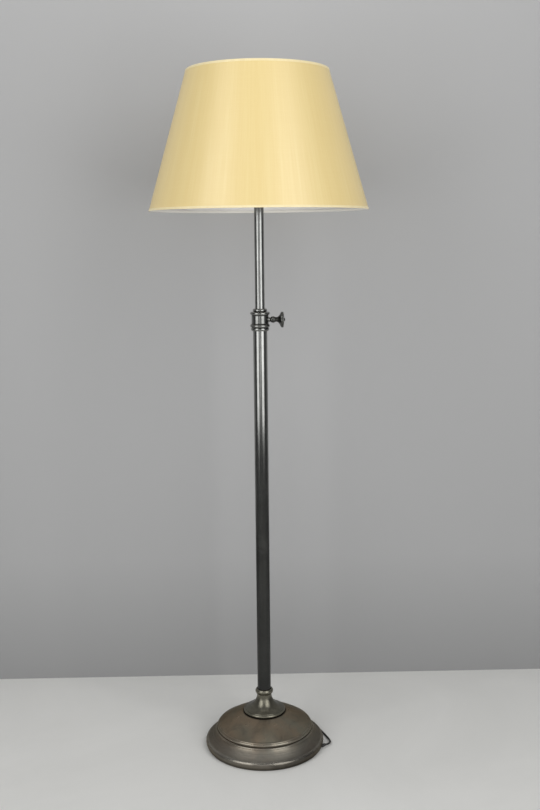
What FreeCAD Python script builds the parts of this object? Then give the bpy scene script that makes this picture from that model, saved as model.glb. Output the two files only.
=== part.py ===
import FreeCAD, Part

import math
import os
import re

import Sketcher

# Telescopic floor lamp. Millimetres, +Z up, origin on the floor under the middle of the base.
# The knob of the telescope points along +X and the supply cord leaves the base on that side.

Vector = FreeCAD.Vector
Rotation = FreeCAD.Rotation
Placement = FreeCAD.Placement

UP = Vector(0, 0, 1)
RIGHT = Vector(1, 0, 0)

# Driving dimensions: name, size in millimetres (or degrees), meaning.
SIZES = [
    ("shade_bottom", 1294, "height of the shade's lower edge"),
    ("shade_top", 1600, "height of the shade's upper edge"),
    ("shade_wide", 249.1, "radius of the lower edge"),
    ("shade_narrow", 159.9, "radius of the upper edge"),
    ("fabric", 0.8, "thickness of the covering"),
    ("lining", 1.0, "thickness of the stiff lining"),
    ("fold", 0.5, "thickness of the edge trim"),
    ("fold_depth", 5, "how far the trim laps over each face"),
    ("ring_wire", 1.3, "radius of the wire rings"),
    ("trim_width", 5.8, "breadth of the folded edge"),
    ("hub_height", 1570, "underside of the spider's hub"),
    ("hub_radius", 16, "radius of the hub"),
    ("hub_thick", 1.6, "thickness of the hub"),
    ("hub_hole", 5.55, "radius of the hub's hole"),
    ("arm_wire", 1.6, "radius of the spider's arms"),
    ("arm_count", 3, "arms on the spider"),
    ("tube_radius", 16.4, "lower tube, outside"),
    ("tube_wall", 1.2, "wall of both tubes"),
    ("tube_foot", 112, "lower end of the lower tube"),
    ("tube_head", 1031, "upper end of the lower tube"),
    ("slim_radius", 11.1, "upper tube, outside"),
    ("slim_head", 1310, "upper end of the upper tube"),
    ("rise", 140, "how far the upper tube can be raised"),
    ("stop_length", 24, "length of the stop bush"),
    ("running", 0.08, "radial clearance of a running fit"),
    ("play", 0.3, "radial clearance where nothing has to guide"),
    ("foot_radius", 141.3, "radius of the shell's lower edge"),
    ("shell_lift", 1, "height of the shell's lower edge"),
    ("shell_wall", 1.6, "sheet thickness of the base shell"),
    ("rim_radius", 144.5, "widest radius of the base"),
    ("rim_mid", 11.5, "height of the widest place"),
    ("rim_round", 9.3, "radius of the rim's rounding"),
    ("shoulder_radius", 139.4, "where the rim meets the shelf"),
    ("shoulder_height", 19.8, "height of that place"),
    ("shelf_radius", 119.8, "inner end of the hollow shelf"),
    ("shelf_height", 40.6, "height of that place"),
    ("shelf_bow", 90, "radius of the hollow"),
    ("quirk_round", 4, "radius of the small moulding above the hollow"),
    ("step_radius", 115.4, "neck of the second tier's bead"),
    ("step_round", 5, "radius of the bead's section"),
    ("dome_start", 53, "height where the dome begins"),
    ("dome_bow", 250, "radius of the dome's section"),
    ("dome_height", 86.4, "height of the dome's flat"),
    ("dome_flat", 47, "radius of the dome's flat"),
    ("weight_radius", 131, "radius of the iron weight"),
    ("weight_edge", 15, "height of the weight's edge"),
    ("weight_top", 36, "height of the weight's top"),
    ("recess_radius", 24, "radius of the recess for the nut"),
    ("recess_height", 28, "height of the recess roof"),
    ("felt", 3, "thickness of the felt pad"),
    ("felt_radius", 130.5, "radius of the felt pad"),
    ("pipe_radius", 6.6, "threaded pipe, outside"),
    ("pipe_bore", 4.75, "threaded pipe, inside"),
    ("pipe_foot", 16, "lower end of the threaded pipe"),
    ("pipe_head", 132, "upper end of the threaded pipe"),
    ("bell_radius", 50.5, "radius of the bell's lip"),
    ("bell_bow", 38, "radius of the bell's hollow flank"),
    ("waist_radius", 17.4, "radius at the bell's waist"),
    ("waist_height", 130, "top of the bell"),
    ("bead_round", 7.3, "section radius of the neck ring's bead"),
    ("neck_top", 142.6, "top of the neck ring"),
    ("collar_foot", 1020.5, "underside of the collar"),
    ("barrel_foot", 1036, "lower end of the collar's barrel"),
    ("barrel_head", 1056.8, "upper end of the collar's barrel"),
    ("collar_head", 1064.1, "top of the collar"),
    ("cap_head", 1071.6, "top of the gland cap"),
    ("cap_radius", 14.1, "neck of the gland cap's bead"),
    ("barrel_radius", 19.7, "radius of the barrel"),
    ("ring_round", 3.6, "section radius of the collar's beads"),
    ("bush_radius", 15.12, "outside of both bushes"),
    ("screw_height", 1046, "height of the thumb screw's axis"),
    ("screw_radius", 4, "radius of its shank"),
    ("screw_seat", 14.6, "shank end, from the tube's axis"),
    ("shoe_face", 11.45, "radius of the shoe's hollow face"),
    ("knob_bead", 7.5, "radius of the knob's bead"),
    ("knob_neck", 5.25, "radius of the knob's neck"),
    ("lobe_count", 5, "lobes round the knob"),
    ("knob_plate", 6.5, "thickness of the knob's plate"),
    ("lobe_valley", 16.9, "radius between two lobes"),
    ("lobe_round", 12.5, "radius of a lobe"),
    ("rim_ease", 1.6, "rounding of the plate's rims"),
    ("saddle_height", 1314, "underside of the harp saddle"),
    ("saddle_half", 7, "half the width of the saddle's strip"),
    ("strip", 1.6, "thickness of the strip"),
    ("tab_half", 2.5, "half the width of the saddle's tabs"),
    ("tab_reach", 30.8, "outer face of a tab, from the axis"),
    ("ledge_height", 16, "saddle's ledges above its underside"),
    ("harp_wire", 1.8, "radius of the harp's wire"),
    ("harp_foot", 32.7, "harp leg's axis from the middle"),
    ("harp_bow", 58, "widest place of the harp"),
    ("harp_top", 1566.2, "axis of the harp's top run"),
    ("sleeve_bore", 3.9, "inside radius of the harp sleeves"),
    ("sleeve_radius", 4.7, "outside radius of the harp sleeves"),
    ("sleeve_length", 18, "length of the harp sleeves"),
    ("nipple_radius", 4.9, "radius of the socket's nipple"),
    ("nipple_bore", 3.4, "bore of the socket's nipple"),
    ("socket_foot", 1315.6, "underside of the socket cap"),
    ("socket_radius", 16.45, "radius of the socket shell"),
    ("socket_wall", 0.7, "sheet thickness of the socket"),
    ("core_radius", 13.6, "radius of the socket's core"),
    ("core_foot", 1334, "underside of the core"),
    ("core_head", 1352, "top of the core"),
    ("socket_head", 1373, "top of the socket shell"),
    ("key_height", 1343, "height of the switch key's axis"),
    ("key_radius", 2.2, "radius of the key's shaft"),
    ("flute_length", 13, "length of the key's flutes"),
    ("flute_count", 8, "flutes round the key"),
    ("thread_radius", 13.35, "inside radius of the screw shell"),
    ("lamp_foot", 1355.3, "lower end of the bulb"),
    ("lamp_cap", 13, "radius of the bulb's cap"),
    ("lamp_radius", 30, "radius of the bulb"),
    ("lamp_height", 108, "height of the bulb"),
    ("blade_apart", 12.7, "between the plug's blades"),
    ("blade_thick", 1.5, "thickness of a blade"),
    ("blade_length", 17, "length of the blades"),
    ("lead_radius", 2.25, "radius of the cord"),
    ("lead_height", 6, "height of the cord where it leaves"),
    ("exit_angle", -13, "where the cord leaves, from +X"),
    ("exit_heading", 25, "direction in which it leaves"),
    ("exit_radius", 142.9, "radius of that place"),
    ("relief_length", 10, "visible length of the strain relief"),
    ("coil_pitch", 5, "from one turn of the coil to the next"),
    ("coil_layer", 5, "from one layer of the coil to the next"),
    ("coil_outer", 39, "radius of the outermost turn"),
    ("coil_turns", 4.5, "turns in a layer"),
]

doc = FreeCAD.newDocument("FloorLamp")
sheet = doc.addObject("Spreadsheet::Sheet", "Sizes")
for row, (name, amount, meaning) in enumerate(SIZES, start=1):
    sheet.set("A%d" % row, name)
    sheet.set("B%d" % row, str(amount))
    sheet.set("C%d" % row, meaning)
    sheet.setAlias("B%d" % row, name)
doc.recompute()

pieces = []


# ---------------------------------------------------------------- helpers

def formula(text):
    """Write Sizes. before each cell's name, so the text can be bound to a property."""
    keep = ("cos", "sin", "tan", "sqrt", "deg")
    words = lambda word: word.group() if word.group() in keep else "Sizes." + word.group()
    return re.sub(r"[a-z][a-z_]*", words, str(text))


def size(text):
    """Present value of a formula of cells."""
    return float(sheet.evalExpression(formula(text)))


def keep(piece):
    """Count an object as a finished piece of the lamp."""
    pieces.append(piece)
    return piece


def new_body(label):
    body = doc.addObject("PartDesign::Body", label)
    body.Label = label
    return keep(body)


def new_sketch(body, plane, name):
    sketch = body.newObject("Sketcher::SketchObject", name)
    origin_plane = next(part for part in body.Origin.OriginFeatures if part.Role == plane + "_Plane")
    sketch.AttachmentSupport = [(origin_plane, "")]
    sketch.MapMode = "FlatFace"
    return sketch


def bulge_point(start, end, radius):
    """Middle of the arc from start to end; a positive radius bulges to the right of the way."""
    chord = end - start
    rise = abs(radius) - math.sqrt(max(radius ** 2 - chord.Length ** 2 / 4, 0))
    side = Vector(chord.y, -chord.x, 0).normalize()
    return (start + end) / 2 + side * math.copysign(rise, radius)


def draw(sketch, corners):
    """Close an outline whose corners are (across, up) formulas.

    A third item in a corner is the radius of the arc to the next one, and its sign says
    on which side the arc bulges: to the right of the way with a plus, else to the left."""
    places = [Vector(size(corner[0]), size(corner[1]), 0) for corner in corners]
    rules = []
    bindings = []
    ends = []
    for number, corner in enumerate(corners):
        start = places[number]
        end = places[(number + 1) % len(places)]
        if len(corner) == 3:
            middle = bulge_point(start, end, size(corner[2]))
            edge = sketch.addGeometry(Part.Arc(start, middle, end))
            bindings.append((len(rules), "sqrt((%s) * (%s))" % (corner[2], corner[2])))
            rules.append(Sketcher.Constraint("Radius", edge, abs(size(corner[2]))))
        else:
            edge = sketch.addGeometry(Part.LineSegment(start, end))
        forward = (sketch.getPoint(edge, 1) - start).Length < 1e-6
        first, last = (1, 2) if forward else (2, 1)
        ends.append((edge, first, last))
        for kind, text, amount in (("DistanceX", corner[0], start.x), ("DistanceY", corner[1], start.y)):
            bindings.append((len(rules), text))
            rules.append(Sketcher.Constraint(kind, -1, 1, edge, first, amount))
    for number, (edge, first, last) in enumerate(ends):
        following = ends[(number + 1) % len(ends)]
        rules.append(Sketcher.Constraint("Coincident", edge, last, following[0], following[1]))
    added = sketch.addConstraint(rules)
    for index, text in bindings:
        if re.search("[a-z]", str(text)):
            sketch.setExpression("Constraints[%d]" % added[index], formula(text))
    return sketch


def draw_axis(sketch, start, end):
    """A construction line between two (across, up) formulas, to turn a profile about."""
    line = sketch.addGeometry(Part.LineSegment(
        Vector(size(start[0]), size(start[1]), 0), Vector(size(end[0]), size(end[1]), 0)), True)
    for point, place_of in ((1, start), (2, end)):
        for kind, text in zip(("DistanceX", "DistanceY"), place_of):
            index = sketch.addConstraint(Sketcher.Constraint(kind, -1, 1, line, point, size(text)))
            sketch.setExpression("Constraints[%d]" % index, formula(text))
    return line


def draw_circle(sketch, radius, across="0", up="0"):
    edge = sketch.addGeometry(Part.Circle(Vector(size(across), size(up), 0), UP, size(radius)))
    rules = (("DistanceX", across), ("DistanceY", up))
    for kind, text in rules:
        index = sketch.addConstraint(Sketcher.Constraint(kind, -1, 1, edge, 3, size(text)))
        if re.search("[a-z]", text):
            sketch.setExpression("Constraints[%d]" % index, formula(text))
    index = sketch.addConstraint(Sketcher.Constraint("Radius", edge, size(radius)))
    sketch.setExpression("Constraints[%d]" % index, formula(radius))
    return sketch


def revolve(body, corners, name):
    """Turn an outline of (radius, height) corners about the body's own Z axis."""
    outline = draw(new_sketch(body, "XZ", name + "_outline"), corners)
    turn = body.newObject("PartDesign::Revolution", name)
    turn.Profile = outline
    turn.ReferenceAxis = (outline, ["V_Axis"])
    turn.Angle = 360
    return turn


def turned(label, corners):
    body = new_body(label)
    revolve(body, corners, label + "_turn")
    return body


def pad(body, sketch, length, name, middle=False):
    feature = body.newObject("PartDesign::Pad", name)
    feature.Profile = sketch
    feature.setExpression("Length", formula(length))
    feature.Midplane = middle
    return feature


def pocket(body, sketch, name, length=None, reverse=False):
    """Cut a sketch away, all through both ways where no length is given."""
    feature = body.newObject("PartDesign::Pocket", name)
    feature.Profile = sketch
    if length is None:
        feature.Type = 1
        feature.Midplane = True
    else:
        feature.setExpression("Length", formula(length))
        feature.Reversed = reverse
    return feature


def place(piece, across="0", back="0", up="0", rotation=None):
    """Put a piece where three formulas say, turned by a rotation."""
    piece.Placement = Placement(Vector(size(across), size(back), size(up)), rotation or Rotation())
    for axis, text in (("x", across), ("y", back), ("z", up)):
        if re.search("[a-z]", text):
            piece.setExpression("Placement.Base." + axis, formula(text))
    return piece


def ring(label, outer, inner, foot, head):
    """A plain bush: a tube from foot to head."""
    return turned(label, [(inner, foot), (outer, foot), (outer, head), (inner, head)])


def radial_hole(body, radius, height, reach, name):
    """Bore a hole from the middle of a body out through its +X side."""
    circle = draw_circle(new_sketch(body, "YZ", name + "_circle"), radius, "0", height)
    return pocket(body, circle, name, reach, reverse=True)


# ---------------------------------------------------------------- bent wires and cords

def rounded_route(points):
    """A wire of straight runs and tangent arcs, each arc as large as its two runs allow."""
    edges = []
    radii = []
    here = points[0]
    for before, corner, after in zip(points, points[1:], points[2:]):
        inward = (corner - before).normalize()
        outward = (after - corner).normalize()
        reach = 0.45 * min((corner - before).Length, (after - corner).Length)
        half_turn = inward.getAngle(outward) / 2
        start = corner - inward * reach
        end = corner + outward * reach
        weight = math.cos(half_turn)
        middle = ((start + end) / 2 + corner * weight) / (1 + weight)
        edges.append(Part.LineSegment(here, start).toShape())
        edges.append(Part.Arc(start, middle, end).toShape())
        radii.append(reach / math.tan(half_turn))
        here = end
    edges.append(Part.LineSegment(here, points[-1]).toShape())
    return Part.Wire(edges), radii


def biarc(start, start_way, end, end_way):
    """Two arcs that join two places with given directions smoothly."""
    span = end - start
    both = start_way + end_way
    lean = 2 * (1 - start_way.dot(end_way))
    along = span.dot(both)
    reach = (math.sqrt(along ** 2 + lean * span.dot(span)) - along) / lean
    first_corner = start + start_way * reach
    last_corner = end - end_way * reach
    joint = (first_corner + last_corner) / 2
    arcs = []
    for begin, corner, finish in ((start, first_corner, joint), (joint, last_corner, end)):
        weight = (finish - begin).Length / 2 / reach
        middle = ((begin + finish) / 2 + corner * weight) / (1 + weight)
        arcs.append(Part.Arc(begin, middle, finish).toShape())
    return arcs


def tube(wire, radius, start, way):
    """A round solid along a wire that starts at a place in a direction."""
    section = Part.Wire(Part.makeCircle(radius, start, way))
    return wire.makePipeShell([section], True, False)


def shaped(label, shape):
    """A piece whose shape is made by Part's own functions."""
    piece = doc.addObject("Part::Feature", label)
    piece.Label = label
    piece.Shape = shape
    return keep(piece)


def bent_rod(label, points, radius):
    """A wire or cord along a route; says how tight it bends and checks its volume."""
    route, radii = rounded_route(points)
    solid = tube(route, radius, points[0], points[1] - points[0])
    ideal = math.pi * radius ** 2 * route.Length
    print("%s: length %.1f, tightest bend %.1f, volume %.3f of the ideal"
          % (label, route.Length, min(radii), solid.Volume / ideal))
    return shaped(label, solid)


# ---------------------------------------------------------------- base

def make_base():
    turned("felt_pad", [
        ("recess_radius", "0"), ("felt_radius", "0"), ("felt_radius", "felt"), ("recess_radius", "felt")])

    shell = turned("base_shell", [
        ("foot_radius", "shell_lift", "rim_round + 7"),
        ("rim_radius", "rim_mid", "rim_round"),
        ("shoulder_radius", "shoulder_height"),
        ("shoulder_radius - 0.9", "shoulder_height + 0.1", "0 - shelf_bow"),
        ("shelf_radius", "shelf_height", "quirk_round"),
        ("shelf_radius - 2.6", "shelf_height + 3.6"),
        ("step_radius", "shelf_height + 4.2", "step_round"),
        ("step_radius - 2.6", "dome_start", "dome_bow"),
        ("dome_flat", "dome_height"),
        ("pipe_radius + play", "dome_height"),
        ("pipe_radius + play", "dome_height - shell_wall"),
        ("dome_flat - 0.4", "dome_height - shell_wall", "0 - dome_bow"),
        ("step_radius - 4.1", "dome_start - 1.2", "0 - step_round - 3"),
        ("step_radius - 2", "shelf_height + 3.4"),
        ("step_radius + 1.2", "shelf_height + 1.6"),
        ("shelf_radius - 1.4", "shelf_height - 1", "shelf_bow"),
        ("shoulder_radius - 2", "shoulder_height - 1.4", "0 - rim_round"),
        ("rim_radius - shell_wall", "rim_mid", "0 - rim_round - 7"),
        ("foot_radius - shell_wall", "shell_lift")])
    exit_hole = doc.addObject("Part::Cylinder", "exit_hole")
    exit_hole.Radius = size("lead_radius + 1.75")
    exit_hole.Height = 40
    exit_hole.Placement = cord_placement(-20)
    pierced = doc.addObject("Part::Cut", "pierced_shell")
    pierced.Base = shell
    pierced.Tool = exit_hole
    shell.Label = "whole_shell"
    pierced.Label = "base_shell"
    pieces.remove(shell)
    keep(pierced)

    weight = turned("base_weight", [
        ("recess_radius", "felt"),
        ("weight_radius", "felt"),
        ("weight_radius", "weight_edge"),
        ("weight_radius - 24", "weight_top - 3"),
        ("weight_radius - 32", "weight_top"),
        ("recess_radius + 10", "weight_top"),
        ("recess_radius", "weight_top + 10"),
        ("recess_radius - 2", "dome_height - shell_wall"),
        ("pipe_radius + play", "dome_height - shell_wall"),
        ("pipe_radius + play", "recess_height"),
        ("recess_radius", "recess_height")])
    channel = doc.addObject("Part::Box", "lead_channel")
    channel.setExpression("Length", formula("weight_radius + 4"))
    channel.Width = 30
    channel.setExpression("Height", formula("lead_height + 6 - felt"))
    turn = Rotation(UP, size("exit_angle") - 8)
    channel.Placement = Placement(turn.multVec(Vector(0, -15, 0)) + Vector(0, 0, size("felt")), turn)
    slotted = doc.addObject("Part::Cut", "slotted_weight")
    slotted.Base = weight
    slotted.Tool = channel
    weight.Label = "whole_weight"
    slotted.Label = "base_weight"
    pieces.remove(weight)
    keep(slotted)

    ring("stem_pipe", "pipe_radius", "pipe_bore", "pipe_foot", "pipe_head")
    ring("stem_washer", "recess_radius - 4", "pipe_radius + play", "recess_height - 2", "recess_height")
    nut = doc.addObject("Part::Prism", "nut_blank")
    nut.Polygon = 6
    nut.setExpression("Circumradius", formula("pipe_radius + 5.4"))
    nut.Height = 7
    place(nut, up="recess_height - 9")
    nut_hole = doc.addObject("Part::Cylinder", "nut_hole")
    nut_hole.setExpression("Radius", formula("pipe_radius"))
    nut_hole.Height = 9
    place(nut_hole, up="recess_height - 10")
    stem_nut = doc.addObject("Part::Cut", "stem_nut")
    stem_nut.Base = nut
    stem_nut.Tool = nut_hole
    stem_nut.Label = "stem_nut"
    keep(stem_nut)


def make_neck():
    turned("neck_bell", [
        ("dome_flat - 3", "dome_height"),
        ("bell_radius - 2.6", "dome_height"),
        ("bell_radius", "dome_height + 1"),
        ("bell_radius", "dome_height + 2.6", "3.6"),
        ("bell_radius - 3.2", "dome_height + 6"),
        ("bell_radius - 3.8", "dome_height + 6"),
        ("bell_radius - 4.2", "dome_height + 7"),
        ("bell_radius - 6", "dome_height + 7.6", "0 - bell_bow"),
        ("waist_radius", "waist_height - 4"),
        ("waist_radius", "waist_height"),
        ("tube_radius", "waist_height"),
        ("tube_radius", "tube_foot"),
        ("pipe_radius + play", "tube_foot"),
        ("pipe_radius + play", "dome_height + 15"),
        ("waist_radius - 5", "dome_height + 14"),
        ("waist_radius + 6", "dome_height + 8")])
    turned("neck_ring", [
        ("tube_radius", "waist_height"),
        ("waist_radius + 0.6", "waist_height"),
        ("waist_radius + 1.2", "waist_height + 0.5", "bead_round"),
        ("waist_radius + 1.5", "neck_top - 0.4"),
        ("waist_radius + 0.6", "neck_top"),
        ("tube_radius", "neck_top - 2.4")])
    ring("tube_plug", "tube_radius - tube_wall", "pipe_radius", "tube_foot", "pipe_head + 2")
    ring("lower_tube", "tube_radius", "tube_radius - tube_wall", "tube_foot", "tube_head")


# ---------------------------------------------------------------- telescope

def make_collar():
    collar = turned("collar_body", [
        ("tube_radius", "collar_foot"),
        ("barrel_radius - 0.2", "collar_foot", "5.2"),
        ("barrel_radius", "collar_foot + 7.2"),
        ("barrel_radius - 0.8", "collar_foot + 7.8"),
        ("barrel_radius + 0.6", "barrel_foot - 7.4", "ring_round"),
        ("barrel_radius + 0.6", "barrel_foot - 0.4"),
        ("barrel_radius", "barrel_foot"),
        ("barrel_radius", "barrel_head"),
        ("barrel_radius + 0.6", "barrel_head + 0.3", "ring_round"),
        ("barrel_radius + 0.6", "collar_head - 0.1"),
        ("barrel_radius - 1.4", "collar_head"),
        ("bush_radius", "collar_head"),
        ("bush_radius", "tube_head"),
        ("tube_radius", "tube_head")])
    boss = draw(new_sketch(collar, "XZ", "boss_outline"), [
        ("barrel_radius - 2", "screw_height"),
        ("barrel_radius - 2", "screw_height + 7"),
        ("barrel_radius - 0.2", "screw_height + 7", "0 - 8"),
        ("barrel_radius + 3.4", "screw_height + 5"),
        ("barrel_radius + 3.4", "screw_height")])
    draw_axis(boss, ("barrel_radius", "screw_height"), ("barrel_radius + 3", "screw_height"))
    spin = collar.newObject("PartDesign::Revolution", "boss_turn")
    spin.Profile = boss
    spin.ReferenceAxis = (boss, ["Axis0"])
    spin.Angle = 360
    radial_hole(collar, "screw_radius + running", "screw_height", "barrel_radius + 12", "screw_bore")

    bush = ring("guide_bush", "bush_radius", "slim_radius + running", "tube_head", "collar_head - 4.6")
    radial_hole(bush, "screw_radius + play", "screw_height", "barrel_radius", "shoe_bore")

    turned("gland_cap", [
        ("slim_radius + play", "collar_head - 4.6"),
        ("bush_radius", "collar_head - 4.6"),
        ("bush_radius", "collar_head"),
        ("cap_radius + 0.1", "collar_head + 0.3", "ring_round"),
        ("cap_radius", "cap_head - 0.3"),
        ("cap_radius - 0.7", "cap_head"),
        ("slim_radius + play", "cap_head")])


def make_thumb_screw():
    screw = turned("thumb_screw", [
        ("0", "screw_seat"),
        ("screw_radius", "screw_seat"),
        ("screw_radius", "barrel_radius + 3.9"),
        ("screw_radius + 0.6", "barrel_radius + 3.9", "9"),
        ("knob_bead", "barrel_radius + 10", "6"),
        ("knob_neck + 0.6", "barrel_radius + 15"),
        ("knob_neck", "barrel_radius + 16.2"),
        ("knob_neck", "barrel_radius + 20", "0 - 15"),
        ("lobe_valley - 2.4", "barrel_radius + 27.4"),
        ("lobe_valley - 2.4", "barrel_radius + 34.8", "30"),
        ("screw_radius", "barrel_radius + 36.1"),
        ("screw_radius - 0.8", "barrel_radius + 37.6"),
        ("0", "barrel_radius + 38.2")])
    lobes = new_sketch(screw, "XY", "lobe_outline")
    turn = 360 / size("lobe_count")
    draw(lobes, [
        ("lobe_valley * cos(%.1f deg)" % (turn * (number - 0.5)),
         "lobe_valley * sin(%.1f deg)" % (turn * (number - 0.5)),
         "lobe_round") for number in range(int(size("lobe_count")))])
    lobes.AttachmentOffset = Placement(Vector(0, 0, size("barrel_radius + 28.3")), Rotation())
    lobes.setExpression("AttachmentOffset.Base.z", formula("barrel_radius + 28.3"))
    plate = pad(screw, lobes, "knob_plate", "lobe_plate")
    doc.recompute()
    rims = []
    for number, edge in enumerate(plate.Shape.Edges, start=1):
        if isinstance(edge.Curve, Part.Circle) and abs(edge.Curve.Radius - size("lobe_round")) < 1e-6:
            rims.append("Edge%d" % number)
    easing = screw.newObject("PartDesign::Fillet", "rim_easing")
    easing.Base = (plate, rims)
    easing.setExpression("Radius", formula("rim_ease"))
    place(screw, up="screw_height", rotation=Rotation(Vector(0, 1, 0), 90))

    blank = doc.addObject("Part::Cylinder", "shoe_blank")
    blank.setExpression("Radius", formula("screw_radius - play"))
    blank.setExpression("Height", formula("screw_seat - shoe_face + 1.2"))
    place(blank, across="shoe_face - 1.2", up="screw_height", rotation=Rotation(Vector(0, 1, 0), 90))
    hollow = doc.addObject("Part::Cylinder", "shoe_hollow")
    hollow.setExpression("Radius", formula("shoe_face"))
    hollow.Height = 20
    place(hollow, up="screw_height - 10")
    shoe = doc.addObject("Part::Cut", "clamp_shoe")
    shoe.Base = blank
    shoe.Tool = hollow
    shoe.Label = "clamp_shoe"
    keep(shoe)


def make_upper_tube():
    foot = "tube_head - rise - stop_length - 0.5"
    ring("upper_tube", "slim_radius", "slim_radius - tube_wall", foot, "slim_head")
    ring("stop_bush", "bush_radius", "slim_radius", foot, foot + " + stop_length")
    turned("stem_cap", [
        ("slim_radius", "slim_head - 8"),
        ("slim_radius + 2.1", "slim_head - 8"),
        ("slim_radius + 2.7", "slim_head - 6"),
        ("slim_radius + 2.7", "slim_head - 2", "12"),
        ("nipple_radius + 5", "saddle_height"),
        ("nipple_radius", "saddle_height"),
        ("nipple_radius", "slim_head"),
        ("slim_radius", "slim_head")])
    ring("socket_nipple", "nipple_radius", "nipple_bore", "saddle_height - 8", "saddle_height + 14")


# ---------------------------------------------------------------- harp

def make_saddle():
    saddle = new_body("harp_saddle")
    strip = draw(new_sketch(saddle, "XZ", "strip_outline"), [
        ("0", "0"),
        ("tab_reach - 9", "0"),
        ("tab_reach - 0.6", "ledge_height - strip"),
        ("tab_reach + 5.7", "ledge_height - strip"),
        ("tab_reach + 5.7", "ledge_height"),
        ("tab_reach - strip - 0.4", "ledge_height"),
        ("tab_reach - 10", "strip"),
        ("0", "strip")])
    arm = pad(saddle, strip, "2 * saddle_half", "saddle_arm", middle=True)
    outline = draw(new_sketch(saddle, "XZ", "tab_outline"), [
        ("tab_reach - strip", "ledge_height - 0.4"),
        ("tab_reach", "ledge_height - 0.4"),
        ("tab_reach", "ledge_height + 16"),
        ("tab_reach - strip", "ledge_height + 16")])
    tab = pad(saddle, outline, "2 * tab_half", "saddle_tab", middle=True)
    doc.recompute()
    other = saddle.newObject("PartDesign::Mirrored", "other_arm")
    other.Originals = [arm, tab]
    plane = next(part for part in saddle.Origin.OriginFeatures if part.Role == "YZ_Plane")
    other.MirrorPlane = (plane, [""])
    saddle.Tip = other
    doc.recompute()
    pocket(saddle, draw_circle(new_sketch(saddle, "XY", "saddle_hole"), "nipple_radius"), "nipple_hole")
    place(saddle, up="saddle_height")


def make_harp():
    foot = size("saddle_height + ledge_height")
    top = size("harp_top")
    leg = size("harp_foot")
    bow = size("harp_bow")
    side = [
        Vector(leg, 0, foot),
        Vector(leg, 0, foot + 48),
        Vector(bow - 3, 0, foot + 88),
        Vector(bow, 0, foot + 128),
        Vector(bow - 5, 0, foot + 172),
        Vector(bow - 22, 0, foot + 212),
        Vector(bow - 36, 0, top - 4),
        Vector(14, 0, top)]
    mirrored = [Vector(-point.x, point.y, point.z) for point in reversed(side)]
    bent_rod("harp", side + mirrored, size("harp_wire"))

    for label, way in (("harp_sleeve_right", "1"), ("harp_sleeve_left", "-1")):
        sleeve = ring(label, "sleeve_radius", "sleeve_bore", "0", "sleeve_length")
        place(sleeve, across=way + " * (tab_reach + 1)", up="saddle_height + ledge_height")

    seat = "harp_top + harp_wire"
    turned("harp_stud", [
        ("0", seat),
        ("hub_radius / 2", seat),
        ("hub_radius / 2", "hub_height"),
        ("hub_hole - running", "hub_height"),
        ("hub_hole - running", "hub_height + hub_thick - 0.2"),
        ("3.1", "hub_height + hub_thick - 0.2"),
        ("3.1", "hub_height + 13"),
        ("2.5", "hub_height + 14"),
        ("0", "hub_height + 14")])


# ---------------------------------------------------------------- socket and bulb

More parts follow.
